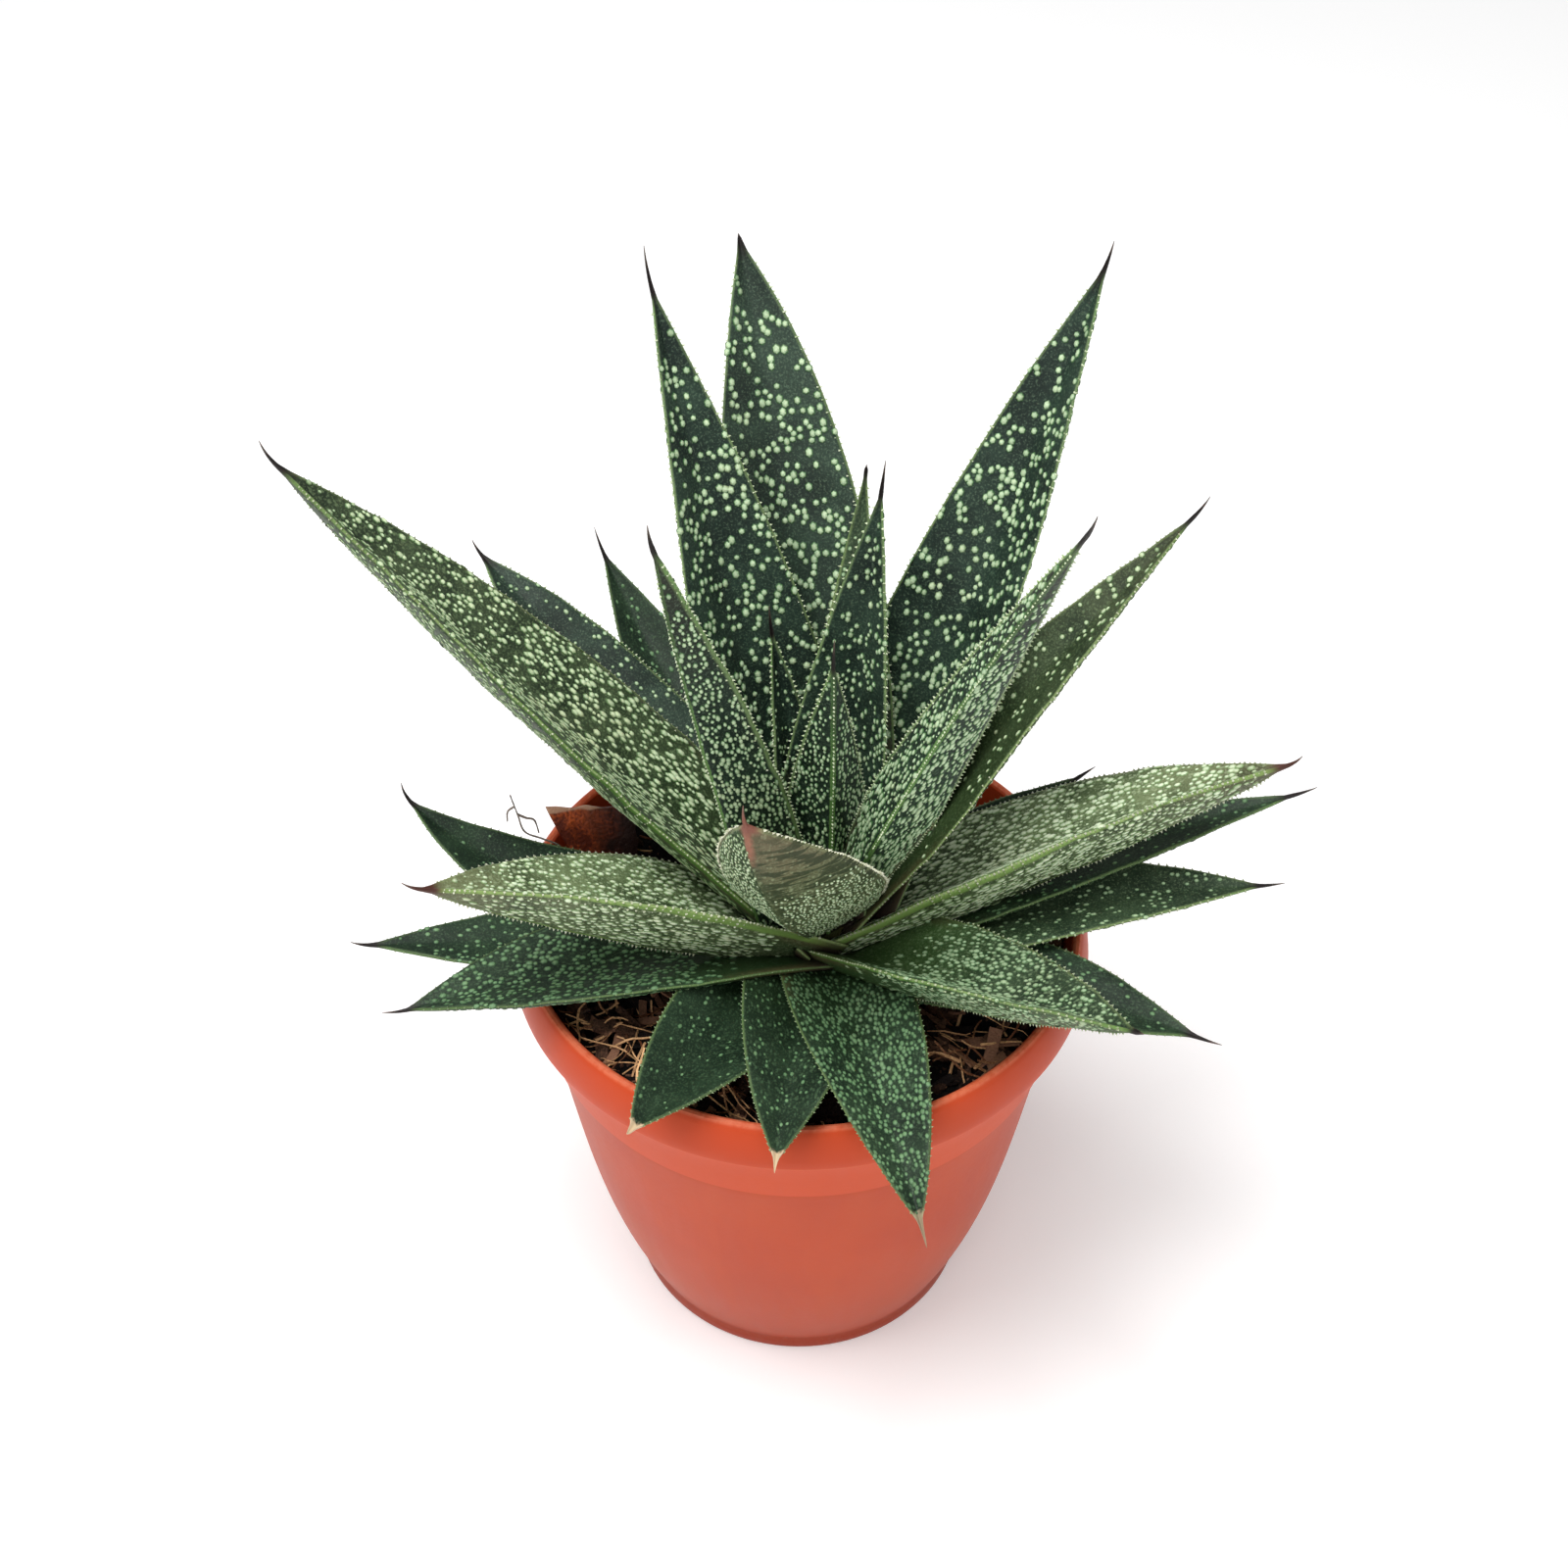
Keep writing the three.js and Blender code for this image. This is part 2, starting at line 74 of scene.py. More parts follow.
def pot_body_radius(share):
    """Outer radius of the body; share runs from its top (0) to its foot (1)."""
    swell = 4 * POT_SWELL * share * (1 - share)
    skew = 6 * POT_SKEW * share * (1 - share) * (1 - 2 * share)
    return POT_STEP_RADIUS + (POT_FOOT_RADIUS - POT_STEP_RADIUS) * share + swell - skew


def turned(name, profile, sides):
    """A solid of revolution from (radius, height) points in millimetres that start and end on the axis."""
    mesh = bpy.data.meshes.new(name)
    verts, rings, faces = [], [], []
    for radius, height in profile:
        count = sides if radius else 1
        rings.append([len(verts) + i % count for i in range(sides)])
        for i in range(count):
            a = 2 * math.pi * i / sides
            verts.append((radius * math.cos(a) * MM, radius * math.sin(a) * MM, height * MM))
    for low, high in zip(rings, rings[1:]):
        for i in range(sides):
            j = (i + 1) % sides
            corners = [low[i], low[j], high[j], high[i]]
            faces.append([c for k, c in enumerate(corners) if c != corners[k - 1]])
    mesh.from_pydata(verts, [], faces)
    mesh.update()
    return put_in_scene(name, mesh)


def smooth_but_for_corners(piece, degrees):
    """Smooth shading, with edges sharper than this angle left crisp."""
    work = bmesh.new()
    work.from_mesh(piece.data)
    for face in work.faces:
        face.smooth = True
    for edge in work.edges:
        if len(edge.link_faces) == 2:
            edge.smooth = edge.calc_face_angle(0) < math.radians(degrees)
    work.to_mesh(piece.data)
    work.free()


def tone(red, green, blue):
    """A colour from display values of 0 to 255."""
    def linear(v):
        v /= 255
        return v / 12.92 if v <= 0.04045 else ((v + 0.055) / 1.055) ** 2.4
    return (linear(red), linear(green), linear(blue), 1.0)


def one_or_all(made):
    return made[0] if len(made) == 1 else made


class Field:
    """A number that varies over a surface, written with ordinary arithmetic."""

    def __init__(self, writer, socket):
        self.writer, self.socket = writer, socket

    def op(self, operation, *others):
        wires = dict(enumerate((self,) + others))
        return self.writer.field(self.writer.add("ShaderNodeMath", wires, operation=operation))

    __add__ = __radd__ = partialmethod(op, "ADD")
    __sub__ = partialmethod(op, "SUBTRACT")
    __mul__ = __rmul__ = partialmethod(op, "MULTIPLY")
    __truediv__ = partialmethod(op, "DIVIDE")
    __pow__ = partialmethod(op, "POWER")
    __abs__ = partialmethod(op, "ABSOLUTE")
    __gt__ = partialmethod(op, "GREATER_THAN")
    __lt__ = partialmethod(op, "LESS_THAN")
    at_least = partialmethod(op, "MAXIMUM")
    at_most = partialmethod(op, "MINIMUM")

    def __rsub__(self, other):
        return self * -1.0 + other

    def ramp(self, low, high, start=0.0, end=1.0):
        """Runs smoothly from start to end as this goes from low to high."""
        wires = {0: self, 1: low, 2: high, 3: start, 4: end}
        made = self.writer.add("ShaderNodeMapRange", wires, interpolation_type="SMOOTHSTEP")
        return self.writer.field(made)


class Writer:
    """Writes a node tree from top to bottom. Nodes of the tree's own sort are named without its prefix."""

    def __init__(self, tree, prefix="ShaderNode"):
        self.tree, self.prefix, self.colour = tree, prefix, None

    def wire(self, value, socket):
        """Joins a field, a socket or a node's first output to an input, or sets it to a plain value."""
        value = getattr(value, "socket", value)
        if isinstance(value, bpy.types.Node):
            value = value.outputs[0]
        if isinstance(value, bpy.types.NodeSocket):
            self.tree.links.new(value, socket)
        else:
            socket.default_value = value

    def add(self, kind, wires=None, **settings):
        """Adds a node. Settings are its properties; wires give its inputs by name or number."""
        made = self.tree.nodes.new(kind if "Node" in kind else self.prefix + kind)
        for key, value in settings.items():
            setattr(made, key, value)
        for key, value in (wires or {}).items():
            self.wire(value, made.inputs[key])
        return made

    def field(self, node, output=0):
        return Field(self, node.outputs[output])

    def axes(self, vector):
        """The X, Y and Z of a vector."""
        parts = self.add("ShaderNodeSeparateXYZ", {0: vector})
        return [self.field(parts, axis) for axis in range(3)]

    def xyz(self, x, y, z):
        return self.add("ShaderNodeCombineXYZ", {0: x, 1: y, 2: z})

    def noise(self, point, scale, detail=2.0, **more):
        wires = {"Vector": point, "Scale": scale, "Detail": detail, **more}
        return self.field(self.add("ShaderNodeTexNoise", wires))

    def point(self):
        """The place on the surface, in the object's own frame."""
        return self.add("TexCoord").outputs["Object"]

    def number(self, name):
        return self.field(self.add("Attribute", attribute_name=name), "Fac")

    def stored(self, names):
        """Numbers stored on the surface under these names."""
        return one_or_all([self.number(name) for name in names.split()])

    def lay(self, share, *over):
        """Lays a colour, a socket or display values, over the one so far by a share from 0 to 1."""
        wires = {0: share, 6: self.colour, 7: tone(*over) if len(over) == 3 else over[0]}
        self.colour = self.add("Mix", wires, data_type="RGBA").outputs[2]


class Group(Writer):
    """A node group with named inputs and outputs."""

    def __init__(self, name, prefix):
        super().__init__(bpy.data.node_groups.new(name, prefix + "Tree"), prefix)
        self.entry, self.leave = self.add("NodeGroupInput"), self.add("NodeGroupOutput")

    def ask(self, names, kind="Float"):
        """Inputs of the group: fields for numbers and sockets for anything else."""
        made = []
        for name in names.split():
            self.tree.interface.new_socket(name, in_out="INPUT", socket_type="NodeSocket" + kind)
            socket = self.entry.outputs[name]
            made.append(Field(self, socket) if kind in ("Float", "Int") else socket)
        return one_or_all(made)

    def give(self, value, name, kind="Float"):
        """Makes an output of the group and gives back its tree."""
        self.tree.interface.new_socket(name, in_out="OUTPUT", socket_type="NodeSocket" + kind)
        self.wire(value, self.leave.inputs[name])
        return self.tree


class Grower(Group):
    """A Geometry Nodes tree that turns one geometry into another."""

    def __init__(self, name):
        super().__init__(name, "GeometryNode")
        self.given = self.ask("Geometry", "Geometry")

    def vector(self, operation, *parts):
        return self.add("ShaderNodeVectorMath", dict(enumerate(parts)), operation=operation)

    def scaled(self, vector, scale):
        return self.add("ShaderNodeVectorMath", {0: vector, "Scale": scale}, operation="SCALE")

    def number(self, name):
        return self.field(self.add("InputNamedAttribute", {"Name": name}, data_type="FLOAT"))

    def stored_vector(self, name):
        return self.add("InputNamedAttribute", {"Name": name}, data_type="FLOAT_VECTOR")

    def store(self, geometry, name, value, kind="FLOAT", domain="POINT"):
        return self.add("StoreNamedAttribute", {"Geometry": geometry, "Name": name, "Value": value},
                        data_type=kind, domain=domain)

    def chance(self, low, high, seed):
        """An even random number for each element."""
        made = self.add("FunctionNodeRandomValue", {2: low, 3: high, 8: seed}, data_type="FLOAT")
        return self.field(made, 1)

    def realized(self, instances, seed):
        """Instances made real, each with a random number stored on it, so that they differ in colour."""
        varied = self.store(instances, "vary", self.chance(0.0, 1.0, seed), domain="INSTANCE")
        return self.add("RealizeInstances", {0: varied})

    def painted(self, geometry, material):
        return self.add("SetMaterial", {"Geometry": geometry, "Material": material})

    def cut(self, mesh, cutters):
        return self.add("MeshBoolean", {"Mesh 1": mesh, "Mesh 2": cutters}, operation="DIFFERENCE",
                        solver="MANIFOLD")

    def joined(self, *parts):
        whole = self.add("JoinGeometry")
        for part in parts:
            self.wire(part, whole.inputs[0])
        return whole

    def end(self, geometry):
        return self.give(geometry, "Geometry", "Geometry")


def grown(piece, tree, **values):
    """Runs a tree on a piece and gives the result as a new plain object in its place."""
    modifier = piece.modifiers.new(tree.name, "NODES")
    modifier.node_group = tree
    for item in tree.interface.items_tree:
        if item.in_out == "INPUT" and item.name in values:
            value = values[item.name]
            modifier[item.identifier] = float(value) if item.socket_type == "NodeSocketFloat" else value
    bpy.context.view_layer.update()
    depsgraph = bpy.context.evaluated_depsgraph_get()
    mesh = bpy.data.meshes.new_from_object(piece.evaluated_get(depsgraph), preserve_all_data_layers=True,
                                           depsgraph=depsgraph)
    name, old = piece.name, piece.data
    bpy.data.objects.remove(piece)
    if old.users == 0:
        bpy.data.meshes.remove(old)
    return put_in_scene(name, mesh)


def surface_grain_group():
    """Fine grain and broad unevenness of a matt surface, as two masks and a height."""
    g = Group("surface_grain", "ShaderNode")
    fine_scale, broad_scale = g.ask("fine_scale broad_scale")
    broad = g.noise(g.point(), broad_scale, 3.0)
    fine = g.noise(g.point(), fine_scale, 4.0)
    g.give(broad, "broad")
    g.give(fine, "fine")
    return g.give(broad * 0.4 + fine * 0.6, "height")


surface_grain = surface_grain_group()


class Coat(Writer):
    """A material: colour and relief for its Principled BSDF. Constants go on that shader's own sockets."""

    def __init__(self, name, **constants):
        self.material = bpy.data.materials.new(name)
        self.material.use_nodes = True
        super().__init__(self.material.node_tree)
        self.shader = self.tree.nodes["Principled BSDF"]
        for key, value in constants.items():
            self.shader.inputs[key.replace("_", " ").title().replace("Ior", "IOR")].default_value = value

    def grain(self, fine, broad):
        """The grain group's broad mask, fine mask and height."""
        made = self.add("Group", node_tree=surface_grain)
        self.wire(fine, made.inputs["fine_scale"])
        self.wire(broad, made.inputs["broad_scale"])
        return [Field(self, out) for out in made.outputs]

    def done(self, relief=None, distance=0.0, strength=1.0):
        """Wires up the colour and, where there is one, the relief."""
        self.wire(self.colour, self.shader.inputs["Base Color"])
        if relief is not None:
            bump = self.add("Bump", {"Height": relief, "Distance": distance, "Strength": strength})
            self.wire(bump, self.shader.inputs["Normal"])
        return self.material


def finish_piece(piece, node):
    """Rides the piece on the plant's one body and hides the part of the imported model that it stands in for.
    """
    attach(piece, "root")
    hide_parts(node)


def pot_plastic():
    """Satin terracotta polypropylene: faint flow streaks and a little dust low down, with painted light and
    shade: a lighter band, a darker lip, painted shade low on the body and foot ring, and painted highlights
    along the ledge and the lip's top edge.
    """
    m = Coat("pot_plastic", roughness=0.42, specular_ior_level=0.16, subsurface_weight=0.03,
             subsurface_scale=0.003)
    z = m.axes(m.point())[2]
    broad, fine, height = m.grain(900.0, 28.0)
    streaks = m.noise(m.add("Mapping", {"Vector": m.point(), "Scale": (1.0, 1.0, 0.06)}), 160.0)
    m.colour = tone(178, 62, 25)
    m.lay(broad.ramp(0.3, 0.7), 186, 70, 31)
    m.lay(streaks.ramp(0.45, 0.75) * 0.35, 192, 82, 44)
    # Painted light and shade: the band and lip above the body painted lighter where light falls on them, and
    # the lip's roll above the ledge painted darker as painted shade.
    m.lay(z.ramp(78.5 * MM, 80.5 * MM) * 0.55, 214, 82, 40)
    m.lay(z.ramp(94.6 * MM, 97.0 * MM) * 0.35, 170, 56, 32)
    # Painted highlights: thin lighter lines along the ledge between band and lip and along the lip's top
    # edge.
    ledge_glint = z.ramp(94.3 * MM, 94.9 * MM) * z.ramp(95.3 * MM, 95.7 * MM, 1.0, 0.0)
    m.lay((ledge_glint + z.ramp(104.3 * MM, 104.9 * MM) * 0.7) * fine.ramp(0.3, 0.6, 0.3, 0.7), 222, 132, 98)
    # Painted shade: the body darkens towards its foot, and the foot ring tucked under the body is darker
    # still.
    m.lay(z.ramp(10 * MM, 60 * MM, 0.45, 0.0), 160, 60, 28)
    m.lay(z.ramp(4.0 * MM, 5.2 * MM, 1.0, 0.0) * 0.55, 140, 48, 28)
    m.lay(z.ramp(70 * MM, 5 * MM) * fine.ramp(0.4, 0.75) * 0.1, 180, 124, 98)
    m.wire(streaks * 0.12 + fine * 0.08 + 0.33, m.shader.inputs["Roughness"])
    return m.done(height * 0.6 + streaks * 0.4, 0.00006, 0.6)


def drain_holes():
    """Bores a ring of equal round holes through the mesh it is put on."""
    w = Grower("drain_holes")
    count = w.ask("count", "Int")
    circle, radius, depth, level, start = w.ask("circle radius depth level start")
    paint = w.ask("finish", "Material")
    ring = w.add("Transform", {"Geometry": w.add("MeshCircle", {"Vertices": count, "Radius": circle}),
                               "Translation": w.xyz(0.0, 0.0, level), "Rotation": w.xyz(0.0, 0.0, start)})
    points = w.add("MeshToPoints", {"Mesh": ring})
    drill = w.add("MeshCylinder", {"Vertices": 32, "Radius": radius, "Depth": depth})
    drills = w.add("RealizeInstances", {0: w.add("InstanceOnPoints", {"Points": points, "Instance": drill})})
    return w.end(w.painted(w.cut(w.given, drills), paint))


pot_profile = [(0, 0), (POT_DISC, 0), (POT_DISC_FOOT, POT_FLOOR)] + POT_FOOT_RING
for step in range(POT_OUTSIDE_STEPS, -1, -1):
    share = step / POT_OUTSIDE_STEPS
    height = POT_STEP_HEIGHT + (POT_FOOT_HEIGHT - POT_STEP_HEIGHT) * share
    pot_profile.append((pot_body_radius(share), height))
pot_profile += POT_BAND + POT_LIP_INSIDE
for step in range(1, POT_INSIDE_STEPS + 1):
    share = step / POT_INSIDE_STEPS
    height = POT_STEP_HEIGHT + (POT_FLOOR + POT_WALL - POT_STEP_HEIGHT) * share
    pot_profile.append((pot_body_radius(share) - POT_WALL, height))
pot_profile += [(POT_DISC_FOOT, POT_FLOOR + POT_WALL), (POT_DISC, POT_WALL), (0, POT_WALL)]
pot = grown(turned("pot_shell", pot_profile, POT_SIDES), drain_holes(), count=6, start=math.pi / 6,
            finish=pot_plastic(), **metres(**POT_HOLES))
smooth_but_for_corners(pot, 28)
finish_piece(pot, "pot")


# Potting mix. Dark composted bark and peat filled in by hand to about 7 mm below the lip, hollowed
# a little round the stem; bark lumps lie half bedded in it, and crumbs, bark flakes and tan coir
# fibres lie loose on top.

STEM_AXIS = (4.0, -7.0)
MIX_SIDES, MIX_WALL_STEPS, MIX_TOP_STEPS = 200, 12, 64
MIX_RADIUS, MIX_LEVEL, MIX_TOP_DEPTH = 54.3, 98.0, 13.0
MIX_DIP, MIX_DIP_REACH = 7.0, 26.0
MIX_GAP = 0.3
CRUMBS_PER_SQUARE_METRE = 260000.0
LITTER_FACES_UP = 0.35
LUMP_COUNT = 26
LUMP_SEED, LUMP_DRAWS_SKIPPED = 7, 5 * 24
TUFTS = metres(tuft_1_x=-38.5, tuft_1_y=-29.6, tuft_2_x=-16.7, tuft_2_y=-46.8, tuft_3_x=34, tuft_3_y=-36)


def mix_level(x, y):
    """Height of the mix in millimetres at a point."""
    away = math.hypot(x - STEM_AXIS[0], y - STEM_AXIS[1]) / MIX_DIP_REACH
    return MIX_LEVEL - MIX_DIP * math.exp(-away * away)


def mix_surface():
    """Hollows the mix round the stem, breaks its top up into clods and strews crumbs over it."""
    w = Grower("mix_surface")
    stem_x, stem_y, level, depth, dip, reach, rough = w.ask("stem_x stem_y level depth dip reach rough")
    bed_paint, crumb_paint = w.ask("bed crumb", "Material")
    place = w.add("InputPosition")
    x, y, z = w.axes(place)
    dx, dy = x - stem_x, y - stem_y
    sink = dip * ((dx * dx + dy * dy) / (reach * reach) * -1.0).op("EXPONENT")
    clods = w.noise(place, 170.0, 4.0, Roughness=0.65)
    shift = (z > level - 0.0002) * ((clods - 0.5) * 2.0 * rough - sink)
    bed = w.add("SetPosition", {"Geometry": w.given, "Offset": w.xyz(0.0, 0.0, shift)})
    upward = w.axes(w.add("InputNormal"))[2] > LITTER_FACES_UP
    spots = w.add("DistributePointsOnFaces", {"Mesh": bed, "Selection": upward * (z > level - depth),
                                              "Density": CRUMBS_PER_SQUARE_METRE, "Seed": 3})
    grit = w.add("MeshIcoSphere", {"Radius": 1.0, "Subdivisions": 1})
    size = w.chance(0.0, 1.0, 5) ** 3.0 * 0.0012 + 0.0003
    crumbs = w.add("InstanceOnPoints", {
        "Points": spots, "Instance": grit,
        "Rotation": w.xyz(w.chance(0.0, 6.3, 6), w.chance(0.0, 6.3, 7), w.chance(0.0, 6.3, 8)),
        "Scale": w.xyz(size * w.chance(0.8, 2.2, 9), size, size * w.chance(0.5, 1.0, 10))})
    return w.end(w.joined(w.painted(w.realized(crumbs, 11), crumb_paint), w.painted(bed, bed_paint)))


def bark_lumps():
    """Rough chunks of bark set on the points of a mesh that carries their sizes and turns."""
    w = Grower("bark_lumps")
    ragged, paint = w.ask("ragged"), w.ask("finish", "Material")
    chunk = w.add("MeshCube", {"Size": (1.0, 1.0, 1.0), "Vertices X": 9, "Vertices Y": 6, "Vertices Z": 5})
    lumps = w.add("InstanceOnPoints", {
        "Points": w.add("MeshToPoints", {"Mesh": w.given}), "Instance": chunk,
        "Rotation": w.stored_vector("turned"), "Scale": w.stored_vector("bulk")})
    dent = w.noise(w.add("InputPosition"), 420.0, 3.0)
    worn = w.add("SetPosition", {"Geometry": w.realized(lumps, 12),
                                 "Offset": w.scaled(w.add("InputNormal"), (dent - 0.62) * ragged)})
    return w.end(w.painted(worn, paint))


def litter():
    """Loose flakes of bark, or fibres when they are thin, strewn over the mix and kept off the wall."""
    w = Grower("litter")
    density, longest, wide, thick, bend, level, depth, wall, lift, tilt, crowd = w.ask(
        "density longest wide thick bend level depth wall lift tilt even")
    seed, paint = w.ask("draw", "Int"), w.ask("finish", "Material")
    x, y, z = w.axes(w.add("InputPosition"))
    upward = w.axes(w.add("InputNormal"))[2] > LITTER_FACES_UP
    for tuft in (1, 2, 3):
        dx, dy = x - w.ask("tuft_%d_x" % tuft), y - w.ask("tuft_%d_y" % tuft)
        crowd = crowd + ((dx * dx + dy * dy) * -12000.0).op("EXPONENT")
    spots = w.add("DistributePointsOnFaces", {"Mesh": w.given, "Selection": upward * (z > level - depth),
                                              "Density": crowd * density, "Seed": seed})
    strip = w.add("MeshGrid", {"Size X": 1.0, "Size Y": 1.0, "Vertices X": 9, "Vertices Y": 2})
    laid = w.add("InstanceOnPoints", {
        "Points": spots, "Instance": strip,
        "Rotation": w.xyz(w.chance(-0.8, 0.8, 21), w.chance(-1.0, 1.0, 22) * tilt, w.chance(0.0, 6.3, 23)),
        "Scale": w.xyz(longest * w.chance(0.25, 1.0, 24), wide * w.chance(0.5, 1.3, 25), 1.0)})
    sheets = w.realized(laid, 26)
    thickened = w.add("ExtrudeMesh", {"Mesh": sheets, "Offset Scale": thick, "Individual": False},
                      mode="FACES")
    both = w.joined(w.add("FlipFaces", {0: sheets}), thickened)
    closed = w.add("MergeByDistance", {"Geometry": both, "Distance": 0.00001})
    sway = w.add("ShaderNodeTexNoise", {"Vector": w.add("InputPosition"), "Scale": 95.0, "Detail": 1.0})
    curve = w.scaled(w.vector("SUBTRACT", sway.outputs["Color"], (0.5, 0.5, 0.5)), bend)
    bent = w.add("SetPosition", {"Geometry": closed, "Offset": w.vector("ADD", curve, w.xyz(0.0, 0.0, lift))})
    x, y, z = w.axes(w.add("InputPosition"))
    pull = (wall / (x * x + y * y).op("SQRT").at_least(0.001)).at_most(1.0)
    kept = w.add("SetPosition", {"Geometry": bent, "Position": w.xyz(x * pull, y * pull, z)})
    return w.end(w.painted(kept, paint))


def litter_material(name, dark, light, rough):
    """Dry plant matter whose pieces differ from dark to light, streaked by its fibres."""
    m = Coat(name, roughness=rough, specular_ior_level=0.2)
    broad, fine, height = m.grain(2400.0, 320.0)
    m.colour = tone(*dark)
    m.lay((m.stored("vary") * 0.8 + broad * 0.4 + (fine - 0.5) * 0.7).ramp(0.3, 1.1), *light)
    return m.done(height, 0.0004)


def even_draws(state):
    """The same run of even random numbers each time."""
    while True:
        state = state * 16807 % 2147483647
        yield state / 2147483647


mix_profile = [(0, POT_WALL + MIX_GAP), (POT_DISC - MIX_GAP, POT_WALL + MIX_GAP),
               (POT_DISC_FOOT - MIX_GAP, POT_FLOOR + POT_WALL + MIX_GAP)]
for step in range(MIX_WALL_STEPS, -1, -1):
    share = step / MIX_WALL_STEPS
    height = POT_STEP_HEIGHT + (POT_FLOOR + POT_WALL + MIX_GAP - POT_STEP_HEIGHT) * share
    mix_profile.append((pot_body_radius(share) - POT_WALL - MIX_GAP, height))
mix_profile += [(53.6, 90.0), (MIX_RADIUS, 96.4)]
mix_profile += [(MIX_RADIUS * (1 - step / MIX_TOP_STEPS), MIX_LEVEL) for step in range(1, MIX_TOP_STEPS)]
mix_bed = grown(turned("mix_bed", mix_profile + [(0, MIX_LEVEL)], MIX_SIDES), mix_surface(),
                bed=litter_material("peat", (6, 3, 3), (36, 24, 19), 0.95),
                crumb=litter_material("peat_crumb", (9, 5, 4), (78, 53, 40), 0.9),
                **metres(stem_x=STEM_AXIS[0], stem_y=STEM_AXIS[1], level=MIX_LEVEL, depth=MIX_TOP_DEPTH,
                         dip=MIX_DIP, reach=MIX_DIP_REACH, rough=2.2))
finish_piece(mix_bed, "potting_mix")

# The solid's mix takes the first draws for its own unevenness; without them the lumps lie as on the solid.
draws = even_draws(LUMP_SEED)
for skipped in range(LUMP_DRAWS_SKIPPED):
    next(draws)
places, bulks, turns = [], [], []
for number in range(LUMP_COUNT):
    angle = (number + next(draws)) / LUMP_COUNT * 2 * math.pi
    reach = 33 + 17 * next(draws)
    bulk_z = 2.5 + 1.5 * next(draws)
    bulks.append(((5 + 6 * next(draws)) * MM, (3 + 3 * next(draws)) * MM, bulk_z * MM))
    turns.append((next(draws) - 0.5, next(draws) - 0.5, next(draws) * math.pi))
    x, y = reach * math.cos(angle), reach * math.sin(angle)
    places.append((x * MM, y * MM, (mix_level(x, y) - 0.1 * bulk_z) * MM))
lump_points = bpy.data.meshes.new("mix_lumps")
lump_points.from_pydata(places, [], [])
for name, rows in (("bulk", bulks), ("turned", turns)):
    layer = lump_points.attributes.new(name, "FLOAT_VECTOR", "POINT")
    layer.data.foreach_set("vector", [value for row in rows for value in row])
mix_lumps = grown(put_in_scene("mix_lumps", lump_points), bark_lumps(), ragged=1.6 * MM,
                  finish=litter_material("bark", (22, 13, 10), (98, 68, 52), 0.85))
finish_piece(mix_lumps, "potting_mix")

litter_tree = litter()
for name, sizes, values, finish in (
        ("mix_flakes", metres(longest=14, wide=2.2, thick=0.5, bend=4, lift=0.6),
         dict(density=42000, even=0.5, tilt=0.6, draw=4), ("bark_flake", (18, 10, 8), (150, 108, 84), 0.75)),
        ("mix_fibres", metres(longest=18, wide=0.3, thick=0.24, bend=9, lift=1.5),
         dict(density=100000, even=0.06, tilt=0.5, draw=9), ("coir", (104, 62, 38), (246, 194, 140), 0.7))):
    strewn = grown(put_in_scene(name, mix_bed.data.copy()), litter_tree, finish=litter_material(*finish),
                   **metres(level=MIX_LEVEL, depth=MIX_TOP_DEPTH, wall=MIX_RADIUS), **sizes, **values,
                   **TUFTS)
    finish_piece(strewn, "potting_mix")


# Stem. One short woody stem, green-brown, that stands in a plain hole in the mix and carries
# every leaf; ringed by the scars of leaves that have fallen.

STEM_SIDES = 48
STEM_PROFILE = [(0, 84), (6.2, 84), (6.5, 84.4), (6.5, 88), (6.2, 88.6), (6.5, 89.4), (6.5, 94),
                (6.2, 94.6), (6.5, 95.4), (6.5, 102), (5.8, 106), (4.9, 111), (3.9, 117), (3.5, 118.8),
                (3.0, 119), (0, 119)]


def stem_bark():
    """Dull green bark with brown scar rings."""
    m = Coat("stem_bark", roughness=0.75, specular_ior_level=0.3)
    broad, fine, height = m.grain(1400.0, 220.0)
    rings = (m.axes(m.point())[2] * 950.0 + broad * 3.0).op("SINE").ramp(0.2, 1.0)
    m.colour = tone(78, 88, 48)
    m.lay(broad.ramp(0.35, 0.65), 112, 104, 62)
    m.lay(rings * 0.7, 82, 58, 40)
    return m.done(height + rings * 0.5, 0.0003)


stem = turned("stem_bark", STEM_PROFILE, STEM_SIDES)
stem.data.transform(Matrix.Translation((STEM_AXIS[0] * MM, STEM_AXIS[1] * MM, 0)))
stem.data.materials.append(stem_bark())
smooth_but_for_corners(stem, 40)
finish_piece(stem, "stem")


# Leaves. Thick, stiff blades of living tissue, channelled above and keeled below, whose clasping
# bases wrap the stem and each other. Each ends in a hard dark point drawn out to a hair, and
# carries pale raised warts in loose cross bands and fine white teeth along its margins and keel.

